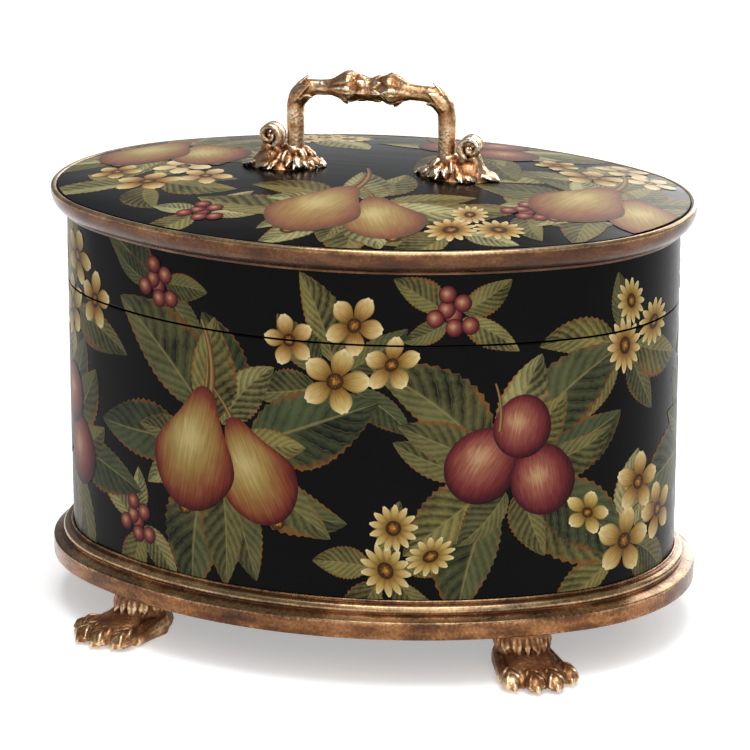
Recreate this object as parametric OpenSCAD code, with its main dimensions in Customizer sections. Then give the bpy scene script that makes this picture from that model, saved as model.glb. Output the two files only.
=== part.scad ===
// Oval keepsake box of bent and painted wood: a deep hinged lid with a domed top,
// gilded mouldings round its rim and foot, four cast paw feet and a cast carrying handle.
// Millimetres. The floor is z = 0, the long axis is X and the front of the box faces -Y.

/* [Oval wall] */
// Length of the box over its wall
box_length = 330; // [310:1:350]
// Depth of the box over its wall, front to back
box_depth = 230; // [220:1:242]
// Radius of the wall at its two ends
end_radius = 90; // [86:1:95]
// Thickness of the bent wood wall
wall = 7; // [6:0.5:9]
// Height of wall that shows between the base moulding and the seam
wall_show = 135.5; // [90:0.5:180]
// Open seam between the wall and the lid
seam_gap = 0.5; // [0.3:0.1:1]
// Glue line left between curved pieces that are stuck together
glue_line = 0.1; // [0.05:0.05:0.2]

/* [Locating lip] */
// Thickness of the lip inside the wall that guides the lid
lip_thick = 3; // [2:0.5:4]
// Height of the lip above the seam
lip_rise = 7; // [4:0.5:10]
// Depth of the lip below the seam
lip_depth = 22; // [12:1:30]
// Room between the lip and the lid
lip_room = 0.4; // [0.3:0.1:0.8]

/* [Base] */
// Height of the gilded base moulding
base_height = 18.2; // [15.5:0.1:22]
// How far the moulding stands out past the wall
base_overhang = 11; // [9:0.1:14]
// Height of its plain fascia
fascia = 9.6; // [7.5:0.1:10.5]
// Width of the sloping ledge on top of the fascia
ledge_width = 5.4; // [4:0.1:6]
// Rise of the ledge towards the torus
ledge_rise = 1.8; // [0:0.1:2.2]
// Thickness of the inner shelf that carries the wall and the bottom
shelf_thick = 6; // [4:0.5:7]
// How far the shelf reaches in past the wall
shelf_reach = 10; // [9:0.5:14]
// Thickness of the bottom panel
bottom_thick = 6; // [4:0.5:8]

/* [Feet] */
// Height of a paw foot
foot_height = 26; // [22:1:34]
// Radius of the ankle
ankle_radius = 14.5; // [12:0.5:16]
// Distance of a foot's screw inside the wall's outer face
foot_inset = 11.5; // [11:0.1:13]
// Distance of a foot's screw from the middle of the box along X, as a share of the box's length
foot_share = 0.31; // [0.3:0.0005:0.34]
// Distance of the ankle's middle outside its screw
ankle_out = 2.6; // [0:0.1:4]
// Turn of a paw from square with the wall towards the end of the box
foot_turn = 4; // [0:1:10]
// Reach of the longest toe from the ankle's middle
toe_reach = 40; // [34:0.5:44]
// Spread of the toes from first to last
toe_spread = 27; // [22:0.5:30]
// Radius of the screw that holds a foot
foot_screw_radius = 2; // [1.5:0.1:2.5]
// Depth of the screw in the foot
foot_screw_grip = 12; // [8:0.5:16]

/* [Lid] */
// Height of the lid from the seam to the top of the rim moulding
lid_height = 51.1; // [44:0.1:60]
// Rise of the domed top above the rim
dome_rise = 10.8; // [6:0.1:14]
// Thickness of the top panel at its edge
panel_edge = 7; // [5:0.1:9]
// Height of the gilded rim moulding
rim_height = 14; // [12:0.1:17]
// How far the rim moulding stands out past the wall
rim_overhang = 8.4; // [7:0.1:11]
// Width of the rim's rounded top edge
rim_bead = 3.6; // [3:0.1:4.5]

/* [Hinges] */
// Distance between the middles of the two hinges
hinge_spacing = 56; // [46:1:64]
// Width of a hinge
hinge_width = 24; // [20:0.5:30]
// Thickness of a hinge leaf
leaf_thick = 1.2; // [1:0.1:1.5]
// Distance of the pin behind the back of the wall
pin_standoff = 3.5; // [3.2:0.1:5]
// Radius of a hinge pin
pin_radius = 1.2; // [1:0.1:1.5]
// Wall of a hinge knuckle round its pin
knuckle_wall = 1.4; // [1.2:0.1:1.6]
// Running room round the pin and between knuckles
hinge_room = 0.05; // [0.02:0.01:0.08]
// Depth of a leaf into the wall, from the back of the wall
leaf_depth = 7.2; // [7:0.1:8]

/* [Handle] */
// Distance between the middles of the two posts
post_spacing = 82.6; // [76:0.2:92]
// Radius of a post
post_radius = 4.6; // [4:0.1:5.2]
// Height of the grip's middle above the rim
grip_height = 53.5; // [48:0.5:60]
// Radius of the bend between a post and the grip
elbow_radius = 12; // [9:0.5:14]
// Radius of the grip at its necks
neck_radius = 4.1; // [3.5:0.1:4.5]
// Radius of the two bud bosses
bud_radius = 7.7; // [6.5:0.1:8.5]
// Distance between the middles of the bud bosses
bud_spacing = 22.4; // [20:0.2:26]
// Length of the leaf rosette at the foot of a post
rosette_length = 46; // [42:0.5:52]
// Width of the leaf rosette
rosette_width = 28; // [24:0.5:32]
// Height of the rosette at the post
rosette_height = 11; // [8:0.5:13]
// Radius of the scroll beside a post
scroll_radius = 7.2; // [6:0.1:7.6]
// Thickness of the scroll from front to back
scroll_thick = 9; // [7:0.5:11]
// Radius of the screw that holds a post
handle_screw_radius = 2; // [1.5:0.1:2.5]
// Depth of the screw in the post
handle_screw_grip = 14; // [8:0.5:20]

/* [Hidden] */
$fn = 96;

LACQUER = "#1b1b18";
GILT = "#9a7044";
BRASS = "#b07c42";
STEEL = "#8d8f92";
INSIDE = "#2a201a";

// The oval is drawn from four arcs that meet without a corner, so that every
// moulding and clearance is an even offset of the wall
half_length = box_length / 2;
half_depth = box_depth / 2;
end_centre = half_length - end_radius;
side_radius = (half_length * half_length - 2 * half_length * end_radius + half_depth * half_depth)
  / (2 * (half_depth - end_radius));
side_centre = side_radius - half_depth;
meet_angle = atan2(side_centre, end_centre);
arc_steps = 12;
around = 8 * arc_steps;

// Heights from the floor
z_base = foot_height;
z_shelf = z_base + shelf_thick;
z_floor = z_shelf + bottom_thick;
z_seam = z_base + base_height + wall_show;
z_lid = z_seam + seam_gap;
z_rim = z_lid + lid_height;
z_panel = z_rim - panel_edge;
z_axis = z_seam + seam_gap / 2;
z_grip = z_rim + grip_height;

// Point on the oval, offset outwards by d, in the direction t from the centre of its own arc
function end_point(t, d) = [end_centre + (end_radius + d) * cos(t), (end_radius + d) * sin(t)];
function side_point(t, d) = [(side_radius + d) * cos(t), (side_radius + d) * sin(t) - side_centre];
function quarter(d) = concat(
  [for (i = [0 : arc_steps - 1]) end_point(meet_angle * i / arc_steps, d)],
  [for (i = [0 : arc_steps - 1]) side_point(meet_angle + (90 - meet_angle) * i / arc_steps, d)]);
function turned(points, s) = [for (p = points) [p.x * s.x, p.y * s.y]];
function backwards(points) = [for (i = [len(points) - 1 : -1 : 0]) points[i]];
function oval_points(d) = concat(
  quarter(d),
  [[0, half_depth + d]],
  turned(backwards(quarter(d)), [-1, 1]),
  [for (i = [1 : 2 * arc_steps - 1]) turned(quarter(d), [-1, -1])[i]],
  [[0, -half_depth - d]],
  [for (i = [0 : 2 * arc_steps - 2]) turned(backwards(quarter(d)), [1, -1])[i]]);

// How far the oval reaches from its centre in the direction t
function folded(t) = atan2(abs(sin(t)), abs(cos(t)));
function meet_bearing(d) = atan2(end_point(meet_angle, d).y, end_point(meet_angle, d).x);
function reach(t, d) = folded(t) < meet_bearing(d)
  ? end_centre * cos(folded(t)) + sqrt(pow(end_radius + d, 2) - pow(end_centre * sin(folded(t)), 2))
  : sqrt(pow(side_radius + d, 2) - pow(side_centre * cos(folded(t)), 2)) - side_centre * sin(folded(t));

// Points of an arc about c, from angle a to angle b
function arc(c, r, a, b, n) =
  [for (i = [0 : n]) let (t = a + (b - a) * i / n) c + r * [cos(t), sin(t)]];

// Sweeps a profile round the oval: x is the distance outside the wall, y the height
module oval_sweep(profile) {
  rows = [for (p = profile) oval_points(p.x)];
  count = len(profile);
  function at(i, j) = (i % around) * count + j % count;
  polyhedron(
    [for (i = [0 : around - 1], j = [0 : count - 1]) [rows[j][i].x, rows[j][i].y, profile[j].y]],
    [for (i = [0 : around - 1], j = [0 : count - 1])
      [at(i, j), at(i, j + 1), at(i + 1, j + 1), at(i + 1, j)]]);
}

// Plain upright band between two offsets of the oval
module band(d_in, d_out, z_low, z_high) {
  translate([0, 0, z_low]) difference() {
    linear_extrude(z_high - z_low) polygon(oval_points(d_out));
    translate([0, 0, -1]) linear_extrude(z_high - z_low + 2) polygon(oval_points(d_in));
  }
}

// Places of the foot screws, and the way that each paw points out of the oval
foot_x = box_length * foot_share;
foot_y = sqrt(pow(side_radius - foot_inset, 2) - foot_x * foot_x) - side_centre;
foot_place = [foot_x, foot_y];
foot_bearing = atan2(foot_y + side_centre, foot_x) - foot_turn;
screw_room = 0.3;
foot_screw_hole = foot_screw_radius + screw_room;
screw_head_height = 1.2;
head_wide = 2;
head_narrow = 1.6;
FRONT_LEFT = [-1, -1];
FRONT_RIGHT = [1, -1];
REAR_LEFT = [-1, 1];
REAR_RIGHT = [1, 1];
CORNERS = [FRONT_LEFT, FRONT_RIGHT, REAR_LEFT, REAR_RIGHT];
module at_foot(corner) translate([corner.x * foot_place.x, corner.y * foot_place.y, 0]) children();

// Gilded base moulding: fascia, sloping ledge, torus and bead outside, a shelf inside
bead_radius = 0.65;
bead_start = -50;
bead_end = 100;
torus_start = -60;
torus_end = 90;
groove = 0.5;
arris = 0.7;
torus_radius = (base_height - fascia - ledge_rise - groove - 2 * bead_radius) / 2;
torus_out = base_overhang - ledge_width;
torus_middle = [torus_out - torus_radius, fascia + ledge_rise + torus_radius];
shelf_in = -wall - shelf_reach;
module base_moulding() color(GILT) difference() {
  translate([0, 0, z_base]) oval_sweep(concat(
    [[shelf_in, 0], [base_overhang - arris, 0], [base_overhang, arris], [base_overhang, fascia - arris],
     [base_overhang - arris, fascia], [torus_out, fascia + ledge_rise]],
    arc(torus_middle, torus_radius, torus_start, torus_end, 4),
    [[2 * bead_radius, base_height - 2 * bead_radius - groove / 2]],
    arc([bead_radius, base_height - bead_radius], bead_radius, bead_start, bead_end, 3),
    [[glue_line, base_height - arris], [glue_line, shelf_thick], [shelf_in, shelf_thick]]));
  for (corner = CORNERS) at_foot(corner) cylinder(r = foot_screw_hole, h = z_floor);
}

// Bottom panel, dropped in on the shelf inside the wall
module bottom_panel() color(INSIDE) translate([0, 0, z_shelf]) difference() {
  linear_extrude(bottom_thick) polygon(oval_points(-wall - glue_line));
  for (corner = CORNERS) at_foot(corner) translate([0, 0, -1])
    cylinder(r = foot_screw_hole, h = bottom_thick + 2);
}

// Recess for the leaves of a hinge in the edge of the wall or of the lid
hinge_y = half_depth + pin_standoff;
leaf_y = half_depth - leaf_depth;
recess_room = 0.1;
module hinge_recess(z_low, z_high) {
  for (side = [-1, 1])
    translate([side * hinge_spacing / 2 - hinge_width / 2 - recess_room, leaf_y - recess_room, z_low])
      cube([hinge_width + 2 * recess_room, half_depth, z_high - z_low]);
}

// Places of the leaf screws along X, and their distance from the box's middle.
// Each screw stops a little short of the bottom of its hole
leaf_screw_radius = 1.1;
leaf_hole_depth = 11;
leaf_screw_length = 10.5;
leaf_screw_share = 0.56;
leaf_screw_pitch = hinge_width * leaf_screw_share;
leaf_screw_inset = 2.6;
leaf_screw_y = leaf_y + leaf_screw_inset;
module at_leaf_screws() {
  for (side = [-1, 1], end = [-0.5, 0.5])
    translate([side * hinge_spacing / 2 + end * leaf_screw_pitch, leaf_screw_y, 0]) children();
}

// Bent wood wall of the box, standing on the base's shelf
module body_wall() color(LACQUER) difference() {
  band(-wall, 0, z_shelf, z_seam);
  hinge_recess(z_seam - leaf_thick, z_seam + 1);
  at_leaf_screws() translate([0, 0, z_seam - leaf_hole_depth])
    cylinder(r = leaf_screw_radius + hinge_room, h = leaf_hole_depth + 1);
}

// Thin lip glued inside the wall below the seam, and standing clear above it to guide the lid
lip_in = -wall - lip_room - lip_thick;
lip_step = 1;
module locating_lip() color(INSIDE) {
  band(lip_in, -wall - glue_line, z_seam - lip_depth, z_seam - lip_step);
  band(lip_in, -wall - lip_room, z_seam - lip_depth, z_seam + lip_rise);
}

// Cast paw foot: an ankle with a collar, a broad instep, four knuckled toes with claws and a heel pad
toe_radius = toe_spread / 4.6;
claw_length = 4.5;
toe_shorten = 14;
collar_swell = 1.2;
instep = toe_reach * 0.5;
module paw_shape() {
  rotate_extrude() polygon(concat(
    [[0, foot_height * 0.25], [ankle_radius - 0.5, foot_height * 0.25]],
    [for (i = [0 : 8]) [ankle_radius - 0.5 + collar_swell * pow(sin(i * 180 / 8), 2),
      foot_height * (0.3 + 0.04 * i)]],
    [[ankle_radius - 0.3, foot_height * 0.72], [ankle_radius + 0.3, foot_height], [0, foot_height]]));
  hull() {
    translate([-2, 0, foot_height * 0.28]) sphere(r = ankle_radius - 1, $fn = 24);
    for (side = [-1, 1]) translate([instep, side * toe_spread * 0.36, foot_height * 0.22])
      sphere(r = toe_radius * 1.05, $fn = 16);
  }
  for (i = [0 : 3]) {
    across = (i - 1.5) / 3;
    shorten = toe_shorten * across * across;
    tip = [toe_reach - claw_length - toe_radius * 0.7 - shorten, across * toe_spread * 1.06];
    hull() {
      translate([instep - 2, across * toe_spread * 0.8, foot_height * 0.3])
        sphere(r = toe_radius * 0.9, $fn = 16);
      translate([tip.x - toe_radius, tip.y, foot_height * 0.29]) sphere(r = toe_radius, $fn = 16);
      translate([tip.x, tip.y, toe_radius * 0.72]) sphere(r = toe_radius * 0.86, $fn = 16);
    }
    translate([tip.x + toe_radius * 0.4, tip.y, toe_radius * 0.9]) rotate([0, 112, across * 24])
      cylinder(r1 = toe_radius * 0.5, r2 = 0.5, h = claw_length + toe_radius * 0.3);
  }
}
module paw_foot(corner) color(BRASS) at_foot(corner) difference() {
  rotate(atan2(corner.y * sin(foot_bearing), corner.x * cos(foot_bearing)))
    translate([ankle_out, 0, 0]) paw_shape();
  translate([0, 0, -foot_height]) cylinder(r = 2 * toe_reach, h = foot_height);
  translate([0, 0, foot_height - foot_screw_grip - 1])
    cylinder(r = foot_screw_radius + hinge_room, h = foot_screw_grip + 2);
}
module paw_foot_front_left() paw_foot(FRONT_LEFT);
module paw_foot_front_right() paw_foot(FRONT_RIGHT);
module paw_foot_rear_left() paw_foot(REAR_LEFT);
module paw_foot_rear_right() paw_foot(REAR_RIGHT);

// Screws driven down through the bottom panel and shelf into the feet
module foot_screws() color(STEEL) for (corner = CORNERS) at_foot(corner) {
  translate([0, 0, foot_height - foot_screw_grip])
    cylinder(r = foot_screw_radius, h = z_floor - foot_height + foot_screw_grip);
  translate([0, 0, z_floor])
    cylinder(r1 = head_wide * foot_screw_radius, r2 = head_narrow * foot_screw_radius, h = screw_head_height);
}

// Butt hinges at the back of the seam. The lower leaf has the middle knuckle,
// which grips the pin, and the upper leaf has the two outer ones, which turn on it
knuckle_radius = pin_radius + knuckle_wall;
knuckle_length = hinge_width / 3;
knuckle_gap = 0.35;
knuckle_clear = knuckle_radius + knuckle_gap;
pin_grip = 0.01;
module knuckle(x_low, x_high, bore) {
  translate([x_low, hinge_y, z_axis]) rotate([0, 90, 0]) difference() {
    cylinder(r = knuckle_radius, h = x_high - x_low);
    translate([0, 0, -1]) cylinder(r = bore, h = x_high - x_low + 2);
  }
}
module leaf_plate(x_low, x_high, y_high, z_low, z_high) {
  translate([x_low, leaf_y, z_low]) cube([x_high - x_low, y_high - leaf_y, z_high - z_low]);
}
module leaf_screw_holes(middle) {
  for (end = [-0.5, 0.5])
    translate([middle + end * leaf_screw_pitch, leaf_screw_y, z_axis - leaf_hole_depth])
      cylinder(r = leaf_screw_radius + hinge_room, h = 2 * leaf_hole_depth);
}
// A plate and its tongues to the knuckles, cleared from the pin's bore
module leaf_body(middle, tongues, bore, z_low, z_high) {
  difference() {
    union() {
      leaf_plate(middle - hinge_width / 2, middle + hinge_width / 2, hinge_y - knuckle_clear, z_low, z_high);
      for (t = tongues) leaf_plate(middle + t[0], middle + t[1], hinge_y, z_low, z_high);
      for (t = tongues) knuckle(middle + t[0], middle + t[1], bore);
    }
    leaf_screw_holes(middle);
    translate([middle - hinge_width, hinge_y, z_axis]) rotate([0, 90, 0])
      cylinder(r = bore, h = 2 * hinge_width);
  }
}
inner_tongue = [[-knuckle_length / 2, knuckle_length / 2]];
outer_tongues = [[-hinge_width / 2, -knuckle_length / 2 - 2 * hinge_room],
  [knuckle_length / 2 + 2 * hinge_room, hinge_width / 2]];
module hinge_leaf_lower(side) color(BRASS)
  leaf_body(side * hinge_spacing / 2, inner_tongue, pin_radius + pin_grip, z_seam - leaf_thick, z_seam);
module hinge_leaf_upper(side) color(BRASS)
  leaf_body(side * hinge_spacing / 2, outer_tongues, pin_radius + hinge_room, z_lid, z_lid + leaf_thick);
module hinge_leaf_lower_left() hinge_leaf_lower(-1);
module hinge_leaf_lower_right() hinge_leaf_lower(1);
module hinge_leaf_upper_left() hinge_leaf_upper(-1);
module hinge_leaf_upper_right() hinge_leaf_upper(1);

module hinge_pin(side) color(STEEL)
  translate([side * hinge_spacing / 2 - hinge_width / 2, hinge_y, z_axis]) rotate([0, 90, 0])
    cylinder(r = pin_radius, h = hinge_width);
module hinge_pin_left() hinge_pin(-1);
module hinge_pin_right() hinge_pin(1);

// Leaf screws, their heads sunk flush in the leaves
module lower_hinge_screws() color(BRASS) at_leaf_screws()
  translate([0, 0, z_seam - leaf_screw_length]) cylinder(r = leaf_screw_radius, h = leaf_screw_length);
module upper_hinge_screws() color(BRASS) at_leaf_screws()
  translate([0, 0, z_lid]) cylinder(r = leaf_screw_radius, h = leaf_screw_length);

// Bent wood skirt of the lid
module lid_skirt() color(LACQUER) difference() {
  band(-wall, 0, z_lid, z_panel);
  hinge_recess(z_lid - 1, z_lid + leaf_thick);
  at_leaf_screws() translate([0, 0, z_lid - 1])
    cylinder(r = leaf_screw_radius + hinge_room, h = leaf_hole_depth + 1);
}

// Gilded rim moulding: a rounded top edge over a thumb moulding that runs in to the skirt
panel_offset = rim_overhang - rim_bead;
rim_round_start = 30;
rim_round_end = 180;
thumb_foot = 0.9;
thumb_drop = rim_height - rim_bead / 2 - thumb_foot;
thumb_run = rim_overhang - thumb_foot;
thumb_turn = 2 * atan2(thumb_run, thumb_drop);
thumb_radius = thumb_drop / sin(thumb_turn);
module rim_moulding() color(GILT) translate([0, 0, z_rim]) oval_sweep(concat(
  [[glue_line, -rim_height], [thumb_foot, -rim_height]],
  backwards(arc([rim_overhang - thumb_radius, -rim_bead / 2], thumb_radius, 0, -thumb_turn, 5)),
  arc([panel_offset + rim_bead / 2, -rim_bead / 2], rim_bead / 2, rim_round_start, rim_round_end, 4),
  [[panel_offset, -panel_edge], [glue_line, -panel_edge]]));

// Domed top panel with a flat underside, let into the rim
panel_out = panel_offset - glue_line;
function dome(x, y) = dome_rise * (1 - pow(norm([x, y]) / reach(atan2(y, x), panel_out), 2));
dome_rings = 9;
post_x = post_spacing / 2;
post_seat = 0.2;
z_post = z_rim + dome(post_x + post_radius, 0) - post_seat;
module dome_solid() {
  rim_points = oval_points(panel_out);
  count = len(rim_points);
  top = [for (r = [1 : dome_rings], p = rim_points)
    [p.x * r / dome_rings, p.y * r / dome_rings, dome_rise * (1 - pow(r / dome_rings, 2))]];
  low = [for (p = rim_points) [p.x, p.y, -panel_edge]];
  points = concat([[0, 0, dome_rise]], top, low);
  function at(ring, i) = 1 + ring * count + i % count;
  polyhedron(points, concat(
    [for (i = [0 : count - 1]) [0, at(0, i + 1), at(0, i)]],
    [for (r = [0 : dome_rings - 2], i = [0 : count - 1]) each
      [[at(r, i), at(r, i + 1), at(r + 1, i)], [at(r, i + 1), at(r + 1, i + 1), at(r + 1, i)]]],
    [for (i = [0 : count - 1])
      [at(dome_rings - 1, i), at(dome_rings - 1, i + 1), at(dome_rings, i + 1), at(dome_rings, i)]],
    [[for (i = [0 : count - 1]) at(dome_rings, i)]]));
}
module at_posts() for (side = [-1, 1]) translate([side * post_x, 0, 0]) children();
module lid_top_panel() color(LACQUER) difference() {
  translate([0, 0, z_rim]) dome_solid();
  at_posts() translate([0, 0, z_post]) cylinder(r = post_radius + glue_line, h = dome_rise);
  at_posts() translate([0, 0, z_panel - 1])
    cylinder(r = handle_screw_radius + screw_room, h = panel_edge + dome_rise + 2);
}

// Cast handle: two posts, bent over into a grip with two bud bosses, a beaded waist and leaf collars
waist_radius = 5.4;
bead_swell = 0.7;
bud_lift = 1.6;
bud_taper = 5.5;
bud_inner_taper = 3;
collar_swell_out = 1.3;
elbow_x = post_x - elbow_radius;
elbow_steps = 6;
grip_steps = 26;
handle_sides = 14;
function hump(u) = exp(-u * u);
function grip_radius(x) = let (u = abs(x) - bud_spacing / 2) u > 0
  ? neck_radius + (bud_radius - neck_radius) * hump(u / bud_taper)
    + collar_swell_out * hump((abs(x) - elbow_x + 2) / 2)
  : waist_radius + (bud_radius - waist_radius) * hump(u / bud_inner_taper)
    + bead_swell * (cos(u * 90) - 1) / 2;
function grip_lift(x) = bud_lift * hump((abs(x) - bud_spacing / 2) / (2 * bud_taper));
// Stations along one half of the bend and along the grip: place, direction and radius
z_elbow = z_grip - elbow_radius;
collar_drop = 2;
collar_radius = post_radius * 1.1;
right_bend = concat(
  [[post_x, z_elbow - collar_drop, 90, collar_radius]],
  [for (i = [1 : elbow_steps - 1]) let (a = i * 90 / elbow_steps)
    [elbow_x + elbow_radius * cos(a), z_elbow + elbow_radius * sin(a), 90 + a, post_radius]]);
grip_line = [for (i = [0 : grip_steps]) let (x = elbow_x - 2 * elbow_x * i / grip_steps)
  [x, z_grip + grip_lift(x), 180, grip_radius(x)]];
left_bend = [for (s = backwards(right_bend)) [-s.x, s.y, 360 - s[2], s[3]]];
module handle_arch() {
  stations = concat(right_bend, grip_line, left_bend);
  last = len(stations) - 1;
  function at(i, j) = i * handle_sides + j % handle_sides;
  polyhedron(
    [for (s = stations, j = [0 : handle_sides - 1]) let (u = j * 360 / handle_sides)
      [s.x - s[3] * cos(u) * sin(s[2]), s[3] * sin(u), s.y + s[3] * cos(u) * cos(s[2])]],
    concat(
      [[for (j = [handle_sides - 1 : -1 : 0]) at(0, j)]],
      [for (i = [0 : last - 1], j = [0 : handle_sides - 1]) each
        [[at(i, j), at(i + 1, j + 1), at(i + 1, j)], [at(i, j), at(i, j + 1), at(i + 1, j + 1)]]],
      [[for (j = [0 : handle_sides - 1]) at(last, j)]]));
}
module handle_bar() color(BRASS) difference() {
  union() {
    at_posts() translate([0, 0, z_post]) cylinder(r = post_radius, h = z_elbow - collar_drop / 2 - z_post);
    handle_arch();
  }
  at_posts() translate([0, 0, z_post - 1])
    cylinder(r = handle_screw_radius + hinge_room, h = handle_screw_grip + screw_room + 1);
}

// Cast leaf rosette that hides the foot of a post, with a scroll on its outer side
rosette_shift = 5;
lobes = 7;
lobe_cut = 0.16;
rosette_rings = 5;
rosette_steps = 42;
rosette_edge = 1.4;
rosette_fall = 1.3;
rosette_vein = 1.5;
scroll_turns = 1.6;
scroll_gap = 1.9;
scroll_height = 26.2;
scroll_place = [post_x + post_radius + scroll_radius + scroll_gap, scroll_height];
function rosette_reach(t) = (1 - lobe_cut * pow(cos(t * lobes / 2), 2));
function rosette_plan(s, t) = [rosette_shift + s * rosette_reach(t) * cos(t) * rosette_length / 2,
  s * rosette_reach(t) * sin(t) * rosette_width / 2];
function rosette_rise(s, t) = rosette_edge + (rosette_height - rosette_edge) * pow(1 - s, rosette_fall)
  + rosette_vein * s * (1 - s) * cos(t * lobes);
module rosette_mound() {
  hub = [rosette_shift, 0, 0, 0];
  plan = concat([hub], [for (r = [1 : rosette_rings], i = [0 : rosette_steps - 1])
    let (s = r / rosette_rings, t = i * 360 / rosette_steps) concat(rosette_plan(s, t), [s, t])]);
  function seat(p) = z_rim + dome(post_x + p.x, p.y);
  upper = [for (p = plan) [post_x + p.x, p.y, seat(p) + rosette_rise(p[2], p[3])]];
  lower = [for (p = plan) [post_x + p.x, p.y, seat(p) + glue_line]];
  total = len(upper);
  function at(ring, i) = 1 + ring * rosette_steps + i % rosette_steps;
  last = rosette_rings - 1;
  ring_quads = [for (r = [0 : last - 1], i = [0 : rosette_steps - 1]) each
    [[at(r, i), at(r, i + 1), at(r + 1, i)], [at(r, i + 1), at(r + 1, i + 1), at(r + 1, i)]]];
  cap = [for (i = [0 : rosette_steps - 1]) [0, at(0, i + 1), at(0, i)]];
  polyhedron(concat(upper, lower), concat(
    cap, ring_quads,
    [for (f = concat(cap, ring_quads)) [f[2] + total, f[1] + total, f[0] + total]],
    [for (i = [0 : rosette_steps - 1]) each
      [[at(last, i), at(last, i + 1), total + at(last, i)],
       [at(last, i + 1), total + at(last, i + 1), total + at(last, i)]]]));
}
// Rolled ribbon with a button at its eye, on a stem that rises from the rosette
module scroll() {
  steps = 44;
  start = -100;
  ribbon = 2.3;
  thinning = 0.35;
  eye_radius = 2;
  eye_stand = 0.8;
  stem_width = scroll_radius * 1.2;
  stem_height = scroll_radius * 1.25;
  function turn(i) = start - i * 360 * scroll_turns / steps;
  function spiral(i) = scroll_radius - (scroll_radius - eye_radius) * i / steps;
  outer = [for (i = [0 : steps]) spiral(i) * [cos(turn(i)), sin(turn(i))]];
  inner = [for (i = [steps : -1 : 0])
    (spiral(i) - ribbon * (1 - thinning * i / steps)) * [cos(turn(i)), sin(turn(i))]];
  translate([scroll_place.x, scroll_thick / 2, z_rim + scroll_place.y]) rotate([90, 0, 0]) {
    linear_extrude(scroll_thick) polygon(concat(outer, inner));
    translate([0, 0, -eye_stand]) cylinder(r = eye_radius, h = scroll_thick + 2 * eye_stand);
    translate([-scroll_radius * 0.7, -scroll_radius * 2]) cube([stem_width, stem_height, scroll_thick]);
  }
}
module handle_rosette() color(BRASS) difference() {
  union() {
    rosette_mound();
    scroll();
  }
  translate([post_x, 0, z_rim]) cylinder(r = post_radius + glue_line, h = 2 * grip_height);
}
module handle_rosette_right() handle_rosette();
module handle_rosette_left() mirror([1, 0, 0]) handle_rosette();

// Screws up through the top panel into the posts, on washers under the panel
washer_radius = 7;
washer_thick = 1.2;
washer_room = 0.15;
handle_head_height = 2;
z_washer = z_panel - washer_thick;
module handle_screws() color(STEEL) at_posts() {
  translate([0, 0, z_washer]) cylinder(r = handle_screw_radius, h = z_post - z_washer + handle_screw_grip);
  translate([0, 0, z_washer - handle_head_height])
    cylinder(r1 = head_narrow * handle_screw_radius, r2 = head_wide * handle_screw_radius,
      h = handle_head_height);
}
module handle_washers() color(STEEL) at_posts() translate([0, 0, z_washer]) difference() {
  cylinder(r = washer_radius, h = washer_thick);
  translate([0, 0, -1]) cylinder(r = handle_screw_radius + washer_room, h = washer_thick + 2);
}

base_moulding();
bottom_panel();
body_wall();
locating_lip();
paw_foot_front_left();
paw_foot_front_right();
paw_foot_rear_left();
paw_foot_rear_right();
foot_screws();
hinge_leaf_lower_left();
hinge_leaf_lower_right();
hinge_pin_left();
hinge_pin_right();
lower_hinge_screws();
lid_skirt();
rim_moulding();
lid_top_panel();
hinge_leaf_upper_left();
hinge_leaf_upper_right();
upper_hinge_screws();
handle_bar();
handle_rosette_left();
handle_rosette_right();
handle_screws();
handle_washers();
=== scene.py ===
"""Oval keepsake box of bent wood: black lacquer painted with fruit and flowers, gilded mouldings round its
rim and foot, four cast paw feet and a cast carrying handle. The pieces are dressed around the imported
solids, in metres."""

import math
import random

import bmesh
import bpy
import numpy as np
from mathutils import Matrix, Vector, noise


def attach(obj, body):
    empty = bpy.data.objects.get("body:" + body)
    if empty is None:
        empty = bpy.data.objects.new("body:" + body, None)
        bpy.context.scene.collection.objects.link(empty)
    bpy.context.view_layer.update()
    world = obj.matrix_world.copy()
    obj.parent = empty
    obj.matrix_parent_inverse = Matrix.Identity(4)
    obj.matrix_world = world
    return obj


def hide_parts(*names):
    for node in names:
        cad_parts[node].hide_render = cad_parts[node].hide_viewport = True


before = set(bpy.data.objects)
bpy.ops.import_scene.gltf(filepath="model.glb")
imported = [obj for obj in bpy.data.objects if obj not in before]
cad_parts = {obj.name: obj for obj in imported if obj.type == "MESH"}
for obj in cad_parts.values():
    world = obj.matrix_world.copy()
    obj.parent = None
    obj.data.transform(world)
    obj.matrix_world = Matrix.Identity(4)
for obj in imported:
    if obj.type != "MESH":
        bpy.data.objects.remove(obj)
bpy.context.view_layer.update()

# Base moulding: a ring of carved limewood that carries the wall, with a plain fascia, a sloping ledge, a
# torus and a small bead. It is gilded with metal leaf over red clay bole and rubbed back, so the red shows
# through. The wall follows four arcs that meet without a corner, and every moulding is an even offset of
# it.
MM = 0.001
END_RADIUS = 90.0
SIDE_RADIUS = 215.0
END_CENTRE = 75.0
SIDE_CENTRE = 100.0
MEET = math.atan2(END_CENTRE, SIDE_CENTRE)
ARC_TURNS = np.array([0, MEET, math.pi - MEET, math.pi + MEET, 2 * math.pi - MEET, 2 * math.pi])
ARC_RADII = np.array([SIDE_RADIUS, END_RADIUS, SIDE_RADIUS, END_RADIUS, SIDE_RADIUS])
ARC_CENTRES = np.array([[0, SIDE_CENTRE], [END_CENTRE, 0], [0, -SIDE_CENTRE], [-END_CENTRE, 0],
                        [0, SIDE_CENTRE]])
ARC_ENDS = np.concatenate([[0], np.cumsum(np.diff(ARC_TURNS) * ARC_RADII)])
PERIMETER = float(ARC_ENDS[-1])


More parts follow.
